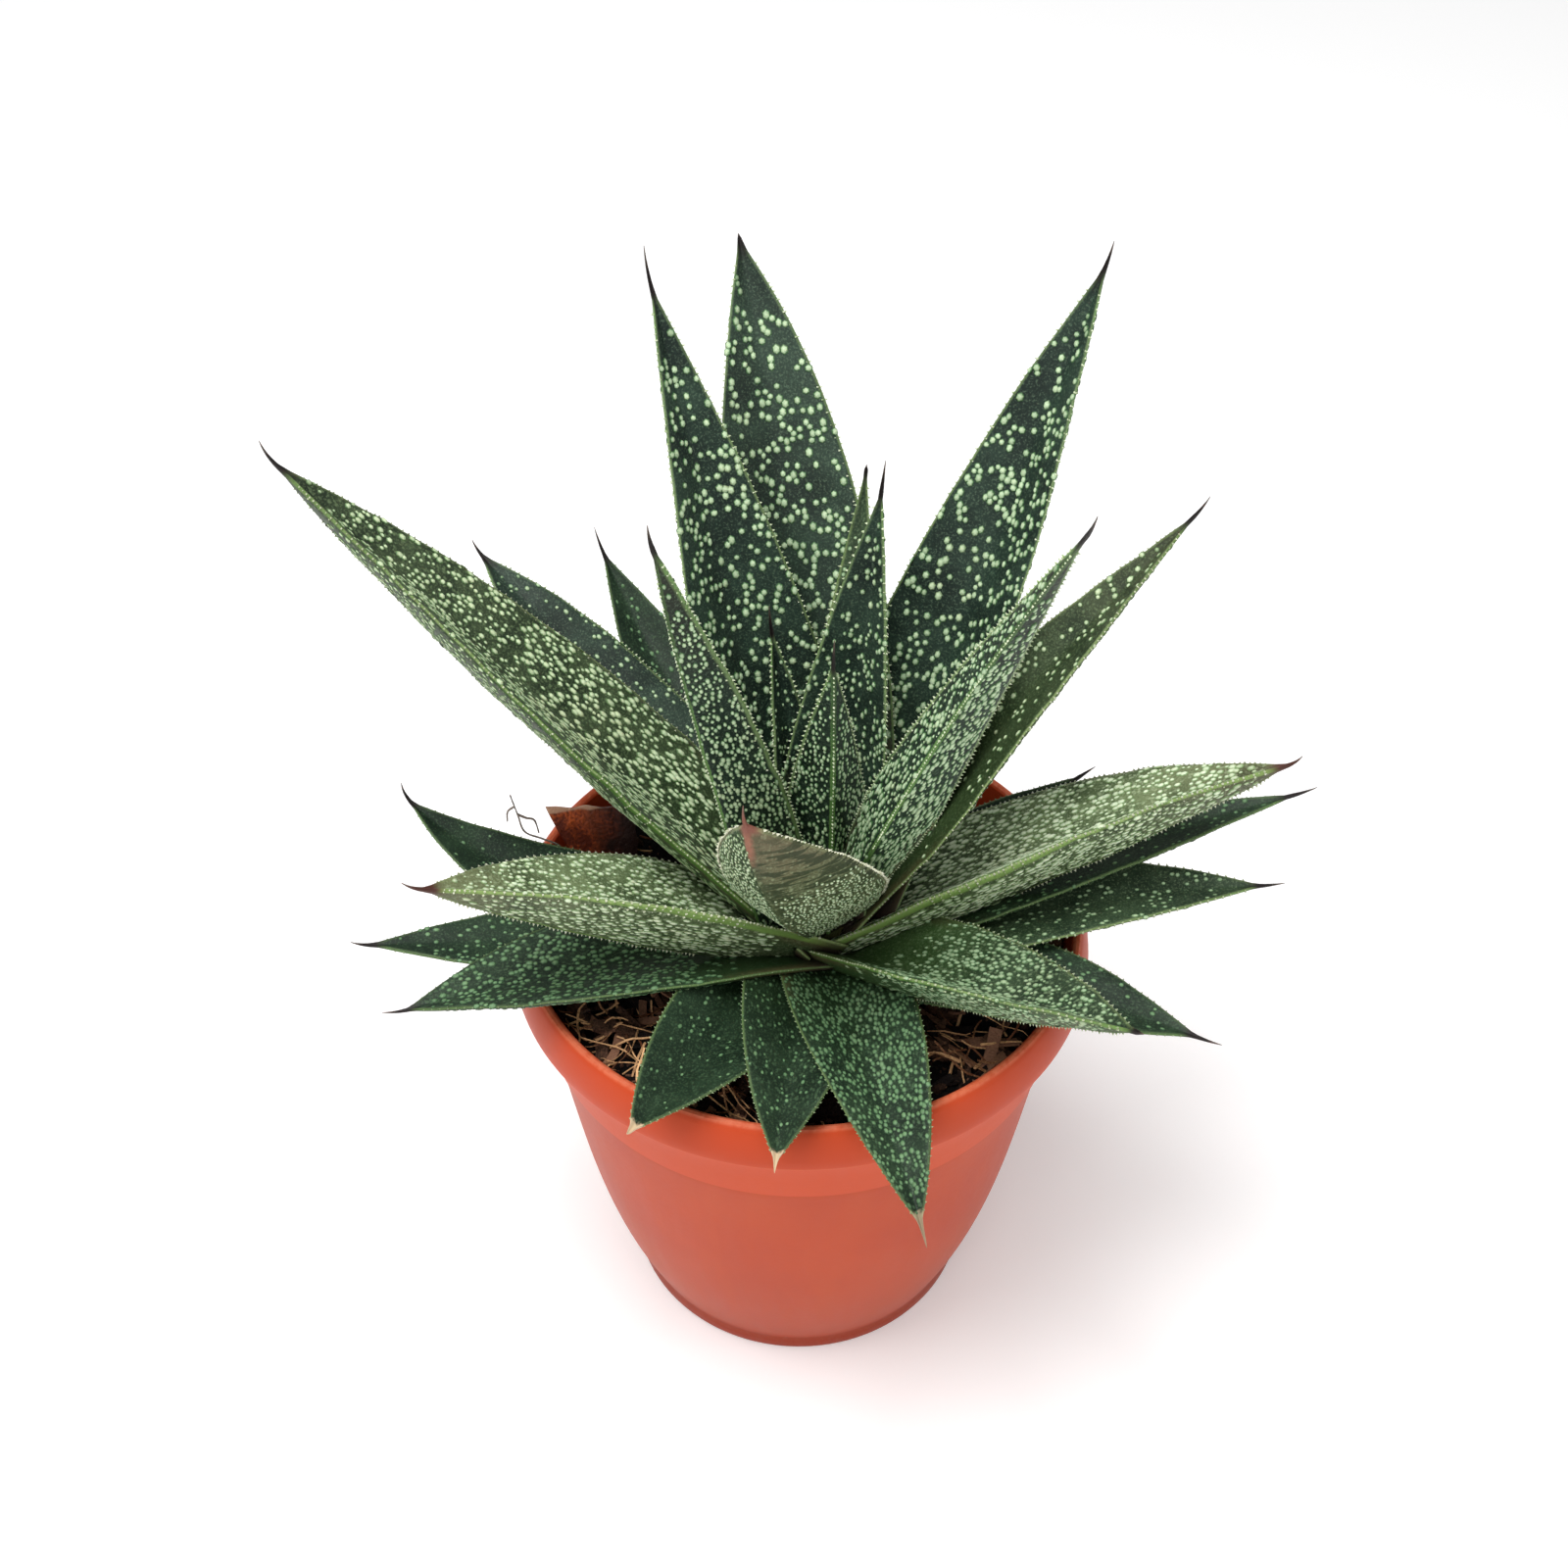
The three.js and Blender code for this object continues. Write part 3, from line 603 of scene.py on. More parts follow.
# One row for each leaf, from the inmost outwards; what a row leaves out is usual for its paint or for
# any leaf. Shape, in millimetres and degrees: turn is where it heads, from +X towards +Y; start and
# height are where it leaves the stem; up is how steeply; curl and sweep are how much steeper and how far
# round it heads at its tip; roll lifts its left margin; fold lifts both; keel makes its right half wider
# by that share; neck is its width at the stem, as a share; a high taper keeps it broad for longer; hair
# and hook are the length and the bend of its point. Looks: slot, wart radius and gap between warts, the
# same below, how many, how tall for their radius, grey bloom, red tip, fine granules, dead tip, share of
# the length that is bare at the base, how drawn out the warts are, smooth bands along the left margin,
# the right margin and the keel, and the share of the length where the warts below its left half end.
LEAF_USUAL = dict(
    start=3, sweep=0, curl=0, roll=0, fold=22, keel=0, neck=0.85, taper=2.3, hair=4, hook=0, paint="deep",
    slot="deep", wart=0.48, gap=1, amount=0.9, flat=0.35, bloom=0, blush=0, grains=0, dry=0, bare=0.1,
    drawn=1.4, left_band=0.3, right_band=0.3, keel_band=0.6, until=1)
PAINT_USUAL = dict(
    green=dict(slot="green", flat=0.5, bare=0.06, left_band=0.15, right_band=0.15), warm=dict(slot="pale"),
    pale=dict(slot="pale", flat=0.5, grains=0.5), cupped=dict(slot="pale"), mid={}, deep={})
LEAVES = {
    "heart_small": dict(turn=116, height=114, up=70, length=61, width=13, thick=4, hair=6, hook=18,
        paint="green", wart=0.44, gap=0.85, amount=1.6, drawn=1.6),
    "heart_front": dict(turn=280, height=113, up=86, length=74, width=22, thick=6, taper=1.8, hair=6,
        paint="green", wart=0.46, gap=0.8, amount=2.4, drawn=1.7),
    "heart_tall": dict(turn=60, height=113, up=79, length=95, width=27, thick=6, taper=1.8, hair=6,
        paint="green", wart=0.56, gap=0.95, under_wart=0.5, under_gap=0.9, amount=1.5, drawn=1.5),
    "short_front": dict(turn=253, start=1, sweep=-16, height=112, up=49, curl=18, length=75, width=31,
        thick=7, fold=12, roll=13, keel=-0.15, neck=0.75, taper=4.4, hair=5, hook=30, paint="cupped",
        wart=0.34, gap=0.6, under_gap=0.62, amount=3.2, flat=0.5, bloom=0.6, blush=0.6, grains=0.5, bare=0.08,
        drawn=1.6, left_band=0.15, right_band=0.15, keel_band=0.4, until=0.7),
    "upright_narrow": dict(turn=211, start=8, height=110, up=78, curl=-4, length=112, width=19, thick=8,
        roll=25, hair=5, hook=14, paint="green", wart=0.46, gap=0.78, under_gap=0.76, amount=2.6, blush=0.12,
        drawn=1.7, left_band=0.2, right_band=0.2, keel_band=0.4),
    "upright_left": dict(turn=122, start=8, height=110, up=68, curl=-6, length=131, width=36, thick=8,
        taper=1.8, hair=8, hook=22, paint="green", wart=0.74, gap=1.05, under_wart=0.6, under_gap=1,
        amount=1.35, flat=0.36, drawn=1.1),
    "steep_right": dict(turn=312, sweep=-10, height=110, up=71, curl=-10, length=144, width=18, thick=8,
        roll=-60, keel=-0.25, neck=0.5, taper=1.7, hair=5, hook=12, paint="green", slot="pale", wart=0.52,
        gap=0.84, under_wart=0.54, under_gap=0.94, amount=3.1, blush=0.1, grains=0.2, drawn=2.4,
        keel_band=0.5),
    "upright_right": dict(turn=46, start=9, height=108, up=61, length=139, width=36, thick=8, hair=5, hook=14,
        paint="green", wart=0.74, gap=1.05, under_wart=0.6, under_gap=1, amount=1.4, flat=0.36, drawn=1.15),
    "upright_back": dict(turn=100, sweep=8, height=107, up=57, length=136, width=36, thick=8, keel=0.12,
        taper=3.4, hair=1, paint="green", wart=0.78, gap=1.1, under_wart=0.6, under_gap=1, amount=1.5,
        flat=0.36, bloom=0.14, drawn=1.1),
    "right_broad": dict(turn=7, start=-5, sweep=-15, height=99, up=27, length=109, width=32, thick=8,
        roll=-20, keel=-0.1, neck=0.8, taper=3.2, hair=4, hook=35, paint="pale", wart=0.56, gap=0.92,
        under_wart=0.58, under_gap=1.08, amount=3.2, bloom=0.1, blush=0.35, bare=0.12, drawn=2.1,
        right_band=1),
    "leaning_right": dict(turn=23, height=106, up=53, curl=-11, length=113, width=34, thick=7, keel=0.12,
        neck=0.55, taper=1.5, hair=5, hook=18, paint="warm", slot="green", wart=0.6, under_wart=0.5,
        under_gap=0.9, amount=1, flat=0.4, bloom=0.1, blush=0.1, grains=0.1, bare=0.5, drawn=1.2),
    "narrow_back": dict(turn=78, height=106, up=67, length=94, width=16, thick=5, hair=1, paint="mid",
        slot="green", wart=0.5, flat=0.4, bloom=0.1, grains=0.1, bare=0.06, drawn=1.3),
    "leaning_left": dict(turn=161, sweep=9, height=104, up=40, curl=6, length=144, width=34, thick=8, roll=10,
        taper=3, hair=6, hook=30, paint="warm", wart=0.56, gap=0.92, under_wart=0.5, under_gap=0.95,
        amount=2.2, flat=0.45, grains=0.3, bare=0.12, drawn=1.9, left_band=0.9),
    "back_left_steep": dict(turn=123, start=8, height=105, up=18, curl=25, length=93, width=30, thick=6,
        hair=6, hook=20, slot="green", wart=0.5, gap=1.1, amount=0.8, grains=0.1, drawn=1.3),
    "back_left_low": dict(turn=138, height=103, up=28, length=108, width=28, thick=6, fold=12, taper=3.8,
        hair=4, hook=30, paint="green", wart=0.5, flat=0.4, bloom=0.1, bare=0.3, drawn=1.3, left_band=0.3,
        right_band=0.3),
    "left_broad": dict(turn=201, sweep=2, height=103, up=36, curl=-13, length=91, width=33, thick=8, roll=19,
        neck=0.8, taper=3.2, hair=5, hook=30, paint="pale", wart=0.52, gap=0.88, under_wart=0.56,
        under_gap=1.15, amount=2.7, flat=0.45, bloom=0.25, blush=0.3, bare=0.18, drawn=2, left_band=1),
    "front_right": dict(turn=311, sweep=-2, height=102, up=29, curl=1, length=91, width=29, thick=6, roll=-12,
        keel=-0.15, taper=2.4, hair=2, paint="mid", wart=0.56, gap=0.88, under_wart=0.54, amount=2.6,
        bloom=0.1, grains=0.6, bare=0.34, drawn=1.7, right_band=0.5),
    "front_left": dict(turn=199, sweep=-4, height=103, up=15, curl=-22, length=86, width=34, thick=6, fold=12,
        roll=12, taper=3.2, hair=5, hook=25, wart=0.6, gap=0.92, under_wart=0.5, under_gap=0.9, amount=2.2,
        flat=0.4, bloom=0.2, grains=0.4, bare=0.34, left_band=0.4),
    "drooping_right": dict(turn=283, height=102, up=17, curl=-29, length=77, width=28, thick=6, taper=2.6,
        hair=4, hook=-10, wart=0.5, gap=0.78, under_wart=0.46, under_gap=0.8, amount=2.5, flat=0.3, bloom=0.1,
        grains=0.5, dry=0.45, bare=0.14, drawn=1.5),
    "right_narrow": dict(turn=10, height=101, up=19, curl=-8, length=102, width=23, thick=5, fold=12, hair=5,
        hook=10, bloom=0.1, grains=0.2),
    "right_low": dict(turn=2, height=101, up=15, curl=-13, length=91, width=29, thick=5, fold=14, taper=2.6,
        hair=5, hook=10, paint="mid", wart=0.5, gap=0.95, flat=0.3, grains=0.1),
    "left_upturned": dict(turn=174, sweep=-30, height=101, up=0, curl=32, length=92, width=30, thick=4,
        fold=12, taper=2.6, hair=5, hook=60, wart=0.4, gap=1.2, under_gap=1.1, amount=0.5, flat=0.3),
    "right_back": dict(turn=28, height=101, up=19, length=65, width=22, thick=5, hair=4, amount=0.8,
        grains=0.1),
    "left_low": dict(turn=187, height=100, up=11, curl=-6, length=91, width=26, thick=4, fold=6, taper=2.6,
        hair=4, hook=25, gap=0.95, amount=1.2),
    "drooping_middle": dict(turn=261, sweep=3, height=102, up=14, curl=-14, length=62, width=29, thick=5,
        roll=-6, neck=1, taper=2.6, hair=2, hook=-60, wart=0.42, under_wart=0.46, under_gap=1.1, amount=1,
        flat=0.2, bloom=0.1, grains=0.4, dry=1, bare=0.12),
    "drooping_left": dict(turn=237, sweep=3, height=100, up=16, curl=-12, length=66, width=29, thick=5,
        roll=-11, taper=3, hair=1, hook=50, wart=0.42, gap=1.1, under_wart=0.46, under_gap=1.2, amount=0.6,
        flat=0.15, grains=0.2, dry=1, bare=0.12),
    "lowest_right": dict(turn=337, height=101, up=15, curl=-22, length=80, width=28, thick=4, fold=8,
        taper=2.6, hair=5, hook=10, flat=0.3, bloom=0.1, grains=0.2),
    "rear_right": dict(turn=68, height=101, up=16, length=66, width=24, thick=6, hair=4, gap=1.1, amount=0.7,
        grains=0.2),
    "rear_middle": dict(turn=92, height=101, up=16, length=72, width=24, thick=6, hair=4, gap=1.1, amount=0.7,
        grains=0.2),
    "rear_left": dict(turn=116, height=101, up=17, length=62, width=24, thick=6, hair=4, gap=1.1, amount=0.7,
        grains=0.2),
}
LEAF_STATIONS, HAIR_STATIONS, LEAF_SIDES = 54, 6, 36
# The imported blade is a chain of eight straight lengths; this half length keeps the path on it.
LEAF_LAG = 1 / 16
# The share of its hair that a leaf's length in its row takes in.
HAIR_WITHIN = 0.75
LEAF_LENGTHS = ("start height length width thick hair wart gap under_wart under_gap left_band right_band "
                "keel_band").split()
BLADE_NUMBERS = "along across under rim lateral far edge"
BLADE_VECTORS = "outward ahead"
SKIN_TONES = "dark light base edge ridge granule tip bloom"
HAIR_HALF_WIDTH, HAIR_THINS_BY = 0.42 * MM, 0.36 * MM
MARGIN_HALF_THICK = 0.4 * MM
# How blunt the bottom of the channel is, and the height of its curve before it is brought to 1.
CHANNEL_ROUND, CHANNEL_RISE = 0.12, 0.88717
TOOTH_RADIUS, TOOTH_HEIGHT, TOOTH_STEP = 0.26 * MM, 0.55 * MM, 0.9 * MM
# Warts on a square metre, where nothing thins them out.
WARTS_AT_MOST = 2200000.0


def leaf_blade():
    """A keeled blade lofted along its path, with the hair that its point is drawn out to."""
    w = Grower("leaf_blade")
    stem_x, stem_y, start, height, turn, up, curl, sweep, roll = w.ask(
        "stem_x stem_y start height turn up curl sweep roll")
    fold, keel, neck, taper, length, width, thick, hair, hook, seed = w.ask(
        "fold keel neck taper length width thick hair hook seed")
    count = LEAF_STATIONS + HAIR_STATIONS

    def direction(body, tip):
        """Compass direction of the path, in radians, and the way that it runs."""
        heading = (turn + sweep * body * body).op("RADIANS")
        rise = (up + curl * body + hook * tip).op("RADIANS")
        level = rise.op("COSINE")
        return heading, w.xyz(heading.op("COSINE") * level, heading.op("SINE") * level, rise.op("SINE"))

    # The path: equal steps whose direction swings as the leaf curls, summed from the stem.
    step = w.field(w.add("InputIndex"))
    body = ((step - 0.5) / LEAF_STATIONS).at_most(1.0)
    tip = ((step - LEAF_STATIONS) / HAIR_STATIONS).at_least(0.0)
    lagged = body - LEAF_LAG * (tip < 0.001)
    in_hair = tip > 0.001
    reach = (length * (1 - in_hair) / LEAF_STATIONS + hair * in_hair / HAIR_STATIONS) * (step > 0.5)
    leap = w.scaled(direction(lagged, tip)[1], reach)
    summed = w.add("AccumulateField", {"Value": leap}, data_type="FLOAT_VECTOR")
    heading = turn.op("RADIANS")
    root = w.xyz(stem_x + start * heading.op("COSINE"), stem_y + start * heading.op("SINE"), height)
    path = w.add("SetPosition", {"Geometry": w.add("MeshLine", {"Count": count + 1}),
                                 "Position": w.vector("ADD", root, summed)})

    # The skin: a capped tube whose rings are moved on to the path, one ring to a station.
    tube = w.add("MeshCylinder", {"Vertices": LEAF_SIDES, "Side Segments": count, "Radius": 1.0,
                                  "Depth": 2.0}, fill_type="TRIANGLE_FAN")
    place = w.add("InputPosition")
    x, y, z = w.axes(place)
    centre = (x * x + y * y) < 0.25
    station = ((z + 1.0) * (count / 2)).op("ROUND")
    body = (station / LEAF_STATIONS).at_most(1.0)
    tip = ((station - LEAF_STATIONS) / HAIR_STATIONS).at_least(0.0)
    heading, ahead = direction(body, tip)
    level = w.xyz(heading.op("SINE") * -1.0, heading.op("COSINE"), 0.0)
    over_level = w.vector("CROSS_PRODUCT", ahead, level)
    angle = roll.op("RADIANS")
    side = w.vector("ADD", w.scaled(level, angle.op("COSINE")), w.scaled(over_level, angle.op("SINE")))
    over = w.vector("CROSS_PRODUCT", ahead, side)
    on_path = w.add("SampleIndex", {"Geometry": path, "Value": place, "Index": station},
                    data_type="FLOAT_VECTOR")

    # Its section: s runs from one margin (1) through the channel or keel (0) to the other (-1).
    s = x * 0.5 + (1 - x.at_most(1.0).at_least(-1.0).op("ARCCOSINE") * (2 / math.pi)) * 0.5
    s = s * (1 - centre)
    under = (0.5 - y * 50.0).at_least(0.0).at_most(1.0)
    away = abs(s)
    outline = (neck + (1 - neck) * body.ramp(0.0, 0.4)) * (1 - body ** taper)
    thin = HAIR_HALF_WIDTH - tip * HAIR_THINS_BY
    half = (width * 0.5 * outline).at_least(thin)
    reach = half * (1 - keel * s.op("SIGN"))
    angle = fold.op("RADIANS")
    lift = reach * angle.op("SINE")
    rounding = (1 - away ** 12.0).at_least(0.0).op("SQRT")
    channel = ((s * s + CHANNEL_ROUND ** 2).op("SQRT") - CHANNEL_ROUND) / CHANNEL_RISE
    depth = (thick * (half / (width * 0.5)) ** 0.8).at_least(thin * 1.3)
    margin = (half * 0.6).at_most(MARGIN_HALF_THICK)
    top = channel * (lift + margin * rounding)
    bottom = away * lift - margin * rounding - (depth - margin) * (1 - away).at_least(0.0) ** 0.69
    out = (top * (1 - under) + bottom * under) * (1 - centre) - depth * 0.5 * centre
    wave = w.noise(w.xyz(s * half * 55.0, (body * length) * 38.0, seed * 7.3), 1.0, 1.5)
    ripple = w.noise(w.xyz(s * 1.5, body * length * 130.0, seed * 3.1 + 50.0), 1.0, 1.0)
    free = body.ramp(0.08, 0.3) * body.ramp(0.8, 1.0, 1.0, 0.0)
    out = out + free * ((wave - 0.5) * 0.0018 + (ripple - 0.5) * away * 0.0011)
    offset = w.vector("ADD", w.scaled(side, s * reach * angle.op("COSINE")), w.scaled(over, out))

    # Where each point lies on the blade, for the warts, the teeth and the colours: caught while
    # the tube is still straight, because every field here is worked out from its plain shape.
    edge = ((away > 0.999) + (away < 0.001) * (under > 0.9) * 0.5) * (1 - centre)
    outward = w.vector("ADD", w.scaled(side, s), w.scaled(over, (1 - away) * (1 - under * 2.0) + away * 0.35))
    skin = tube
    for name, value in zip(BLADE_NUMBERS.split(), (body + tip, s, under, (1 - away) * half, s * half,
                                                   body * length, edge)):
        skin = w.store(skin, name, value)
    for name, value in zip(BLADE_VECTORS.split(), (outward, ahead)):
        skin = w.store(skin, name, value, "FLOAT_VECTOR")
    moved = w.add("SetPosition", {"Geometry": skin, "Position": w.vector("ADD", on_path, offset)})
    return w.end(w.add("SetShadeSmooth", {0: moved}))


def leaf_skin():
    """Cuts a blade by the leaves it wraps, then grows its warts and teeth."""
    w = Grower("leaf_skin")
    inner = w.ask("inner_leaves", "Collection")
    skin_paint, wart_paint, tooth_paint = w.ask("skin_paint wart_paint tooth_paint", "Material")
    wart, gap, under_wart, under_gap, amount, flat, length, seed = w.ask(
        "wart gap under_wart under_gap amount flat length seed")
    bare, drawn, left_band, right_band, keel_band, until, tooth_size, blush = w.ask(
        "bare drawn left_band right_band keel_band until tooth_size blush")
    shade, grains, dry = w.ask("bloom grains dry")
    draw = w.ask("draw", "Int")
    laid = w.add("CollectionInfo", {"Collection": inner, "Separate Children": True})
    cut = w.cut(w.given, laid)
    tally = w.add("AccumulateField", {"Value": 1.0, "Group ID": w.add("InputMeshIsland")}, data_type="FLOAT")
    total = w.field(tally, "Total")
    most = w.add("AttributeStatistic", {"Geometry": cut, 2: total}, data_type="FLOAT", domain="POINT")
    cut = w.add("DeleteGeometry", {"Geometry": cut, "Selection": total < w.field(most, "Max") - 0.5},
                domain="POINT")
    fresh = w.field(w.add("Proximity", {0: w.given}, target_element="FACES"), "Distance") > 0.00003
    for kind, names in (("FLOAT", BLADE_NUMBERS), ("FLOAT_VECTOR", BLADE_VECTORS)):
        for name in names.split():
            value = w.number(name) if kind == "FLOAT" else w.stored_vector(name)
            found = w.add("SampleNearestSurface", {"Mesh": w.given, "Value": value}, data_type=kind)
            cut = w.store(cut, name, found, kind)
    looks = dict(fresh=fresh, shade=shade, blush=blush, grains=grains, dry=dry, bare=bare,
                 keel_band=keel_band)
    for name, value in looks.items():
        cut = w.store(cut, name, value)
    along, across, under, rim, lateral = w.stored("along across under rim lateral")
    on_left = across > 0.0
    half = rim + abs(lateral)
    band = (left_band * on_left + right_band * (1 - on_left)) * along.ramp(0.35, 0.78, 1.0, 0.2)
    cut = w.store(cut, "band", band.at_most(half * 0.22))

    # Warts thin out from the base to the point, in loose bands across the blade.
    bands = w.noise(w.xyz(across * 0.9, along * length * 150.0, seed + under * 9.0), 1.0)
    clumps = w.noise(w.xyz(across * 3.0, along * length * 190.0, seed + 40.0), 1.0, 1.0)
    crowd = along.ramp(0.2, 0.95, 0.3, 0.13) + (bands - 0.5) * 0.75 + (clumps - 0.5) * 0.6
    past_bare = along.ramp(bare * 0.4, bare * 1.3)
    thick = crowd.ramp(-0.08, 0.12) * past_bare * along.ramp(0.88, 0.985, 1.0, 0.0)
    clear = (rim > w.stored("band") + 0.0003) * (w.stored("fresh") < 0.5)
    clear = clear * ((abs(lateral) < keel_band) * under < 0.5)
    ended = along.ramp(until * 0.8, until, 1.0, 0.0).at_least(1 - on_left)
    before_tip = along.ramp(0.9, 0.97, 1.0, 0.0)
    below_share = (thick * 0.5 + 0.5 * before_tip) * clear * amount * 0.35 * past_bare * ended
    warts = []
    for below, here, share, radius, apart in ((0, under < 0.5, thick * clear * amount * 0.3, wart, gap),
                                              (1, under > 0.5, below_share, under_wart, under_gap)):
        spots = w.add("DistributePointsOnFaces",
                      {"Mesh": cut, "Selection": here, "Distance Min": apart, "Density Max": WARTS_AT_MOST,
                       "Density Factor": share, "Seed": draw}, distribute_method="POISSON")
        facing = w.add("FunctionNodeAlignRotationToVector",
                       {"Rotation": spots.outputs["Rotation"], "Vector": w.stored_vector("ahead")},
                       axis="X", pivot_axis="Z")
        stretch = along.ramp(0.12, 0.8, drawn, drawn * 0.4 + 0.6)
        wide = radius * (1.27 - drawn * 0.4 + w.chance(0.0, 1.0, 11 + below) * (drawn * 0.5 - 0.25))
        long = wide * stretch * w.chance(0.85, 1.3, 21 + below)
        ball = w.add("MeshUVSphere", {"Segments": 6, "Rings": 4, "Radius": 1.0})
        ball_z = w.axes(w.add("InputPosition"))[2]
        dome = w.add("DeleteGeometry", {"Geometry": ball, "Selection": ball_z < -0.1}, domain="POINT")
        dome = w.add("SetShadeSmooth", {0: w.store(dome, "crown", ball_z)})
        set_on = w.add("InstanceOnPoints", {"Points": spots, "Instance": dome, "Rotation": facing,
                                            "Scale": w.xyz(long, wide, wide * flat)})
        warts.append(w.painted(w.realized(set_on, 31 + below), wart_paint))

    # Teeth: small cones at even steps along both margins and the outer part of the keel.
    edge = w.stored("edge")
    on_edge = (edge > 0.99) + (edge > 0.49) * (along > 0.3) * (blush < 0.5) > 0.5
    seam = w.add("MeshToCurve", {"Mesh": cut, "Selection": on_edge * (along > 0.1) * (along < 0.97)})
    marks = w.add("CurveToPoints", {"Curve": seam, "Length": TOOTH_STEP}, mode="LENGTH")
    stand = w.add("FunctionNodeAlignRotationToVector", {"Vector": w.stored_vector("outward")}, axis="Z")
    tooth = w.add("MeshCone", {"Vertices": 4, "Radius Bottom": TOOTH_RADIUS, "Depth": TOOTH_HEIGHT},
                  fill_type="NONE")
    teeth = w.add("InstanceOnPoints", {
        "Points": marks, "Instance": tooth, "Rotation": stand,
        "Scale": w.scaled(w.xyz(1.0, 1.0, 1.0), tooth_size * w.chance(0.45, 1.25, 51))})
    return w.end(w.joined(w.painted(w.add("RealizeInstances", {0: teeth}), tooth_paint), warts[1], warts[0],
                          w.painted(cut, skin_paint)))


def leaf_tissue_group():
    """Colour and relief of a leaf's skin, from where a point lies on the blade."""
    g = Group("leaf_tissue", "ShaderNode")
    dark, light, base_and_shade, line_tone, ridge, granule_tone, tip_tone, bloom = g.ask(SKIN_TONES, "Color")
    along, across, under, rim, lateral, far = g.stored("along across under rim lateral far")
    shade, blush, grains, dry, bare, band, keel_band = g.stored("shade blush grains dry bare band keel_band")
    mottle = g.noise(g.point(), 85.0, 4.0, Roughness=0.6)
    fine = g.noise(g.point(), 1300.0, 3.0)
    speck = g.noise(g.point(), 2300.0, Roughness=0.7)
    g.colour = dark
    g.lay(mottle.ramp(0.32, 0.68), light)
    # The base colour is partly painted shade: it covers each leaf's smooth bare base, darkened as painted
    # shade deep in the crown, and is laid as painted shade over the lower half of the blade and half over its
    # underside.
    near_base = ((along + (mottle - 0.5) * 0.16) / bare).ramp(0.5, 1.7, 1.0, 0.0)
    inner = (along + (mottle - 0.5) * 0.3).ramp(0.08, 0.55, 0.6, 0.0).at_least(under * 0.5)
    g.lay((near_base * 0.9).at_least(inner), base_and_shade)
    cupped = blush.ramp(0.5, 0.6)
    green_side = 1 - cupped * (across + (mottle - 0.5) * 0.5).ramp(-0.1, 0.12, 1.0, 0.0)
    bloomed = shade * mottle.ramp(0.2, 0.6, 0.6, 1.0) * along.ramp(0.3, 0.8, 0.5, 1.0) * green_side
    g.lay(bloomed * 0.6, bloom)

    # Fine granules drawn out along the blade, between the raised warts.
    cells = g.field(g.add("TexVoronoi", {"Vector": g.xyz(lateral * 1250.0, far * 720.0, under * 9.0),
                                         "Scale": 1.0, "Randomness": 0.95}))
    patches = (mottle - 0.5) * 0.5 + (fine - 0.5) * 0.7
    granule = (cells + patches * 0.35).ramp(0.2, 0.42, 1.0, 0.0) * grains
    granule = granule * near_base.ramp(0.0, 1.0, 1.0, 0.35)
    g.lay(granule * 0.85, granule_tone)
    g.lay(speck.ramp(0.5, 0.72, 0.0, 0.36), granule_tone)
    g.lay(speck.ramp(0.3, 0.48, 0.45, 0.0), dark)

    # Dry brown skin along the margin near the base and at the very joint, and a reddened outer part.
    by_base = (along + (fine - 0.5) * 0.2).ramp(0.1, 0.36, 0.6, 0.0)
    g.lay(rim.ramp(0.0006, 0.0034, 1.0, 0.0) * by_base, 104, 92, 62)
    g.lay((along + (mottle - 0.5) * 0.05).ramp(0.03, 0.1, 0.85, 0.0), 62, 49, 43)
    g.lay((along + (mottle - 0.5) * 0.4).ramp(0.65, 1.0) * blush * green_side * 0.8, 112, 88, 70)

    # The pale ridge of the keel, the smooth band of each margin and the pale line at its very edge.
    keel = ((abs(lateral) + (fine - 0.5) * 0.0004) / keel_band).ramp(0.7, 1.2, 1.0, 0.0)
    keel = keel * (under > 0.6) * along.ramp(0.5, 0.9, 0.9, 0.3)
    g.lay(keel * (1 - cupped * 0.8), ridge)
    smooth_band = ((rim + (fine - 0.5) * 0.0004) / band.at_least(0.0001)).ramp(0.75, 1.25, 1.0, 0.0)
    g.lay(smooth_band * along.ramp(0.04, 0.14, 0.2, 0.9), ridge)
    line = (rim * (under * 1.2 + 1.0)).ramp(0.0002, 0.00075, 1.0, 0.0) * along.ramp(0.6, 0.95, 1.0, 0.45)
    g.lay(line * fine.ramp(0.3, 0.55, 0.45, 0.9), line_tone)

    # On the cupped leaf alone: wavy dark folds across its outer half, and a reddish streak to its tip.
    folds = g.noise(g.xyz(lateral * 260.0, far * 900.0 + lateral * 300.0, 0.0), 1.0, 1.5, Distortion=0.6)
    wavy = folds.ramp(0.46, 0.53) * cupped * green_side * along.ramp(0.36, 0.52, 0.0, 0.85)
    g.lay(wavy * along.ramp(0.86, 0.97, 1.0, 0.3), 46, 56, 32)
    streak = (abs(lateral) + (fine - 0.5) * 0.001).ramp(0.0003, 0.0011, 1.0, 0.0)
    g.lay(streak * (along + (fine - 0.5) * 0.08).ramp(0.84, 0.93) * cupped * 0.85, 158, 104, 84)

    # The hard point, its hair, and the withered tip of an old leaf.
    g.lay((along + (mottle - 0.5) * 0.06).ramp(0.955, 0.992), tip_tone)
    g.lay(along.ramp(1.3, 2.0, 0.0, 0.6), 120, 104, 92)
    g.lay((along + (fine - 0.5) * 0.03).ramp(0.955, 0.97) * dry, 206, 184, 150)
    g.give(g.colour, "colour", "Color")
    g.give(mottle * 0.1 + fine * 0.2 + 0.36, "sheen")
    return g.give(fine * 0.35 + speck * 0.25 + granule * 0.8, "height")


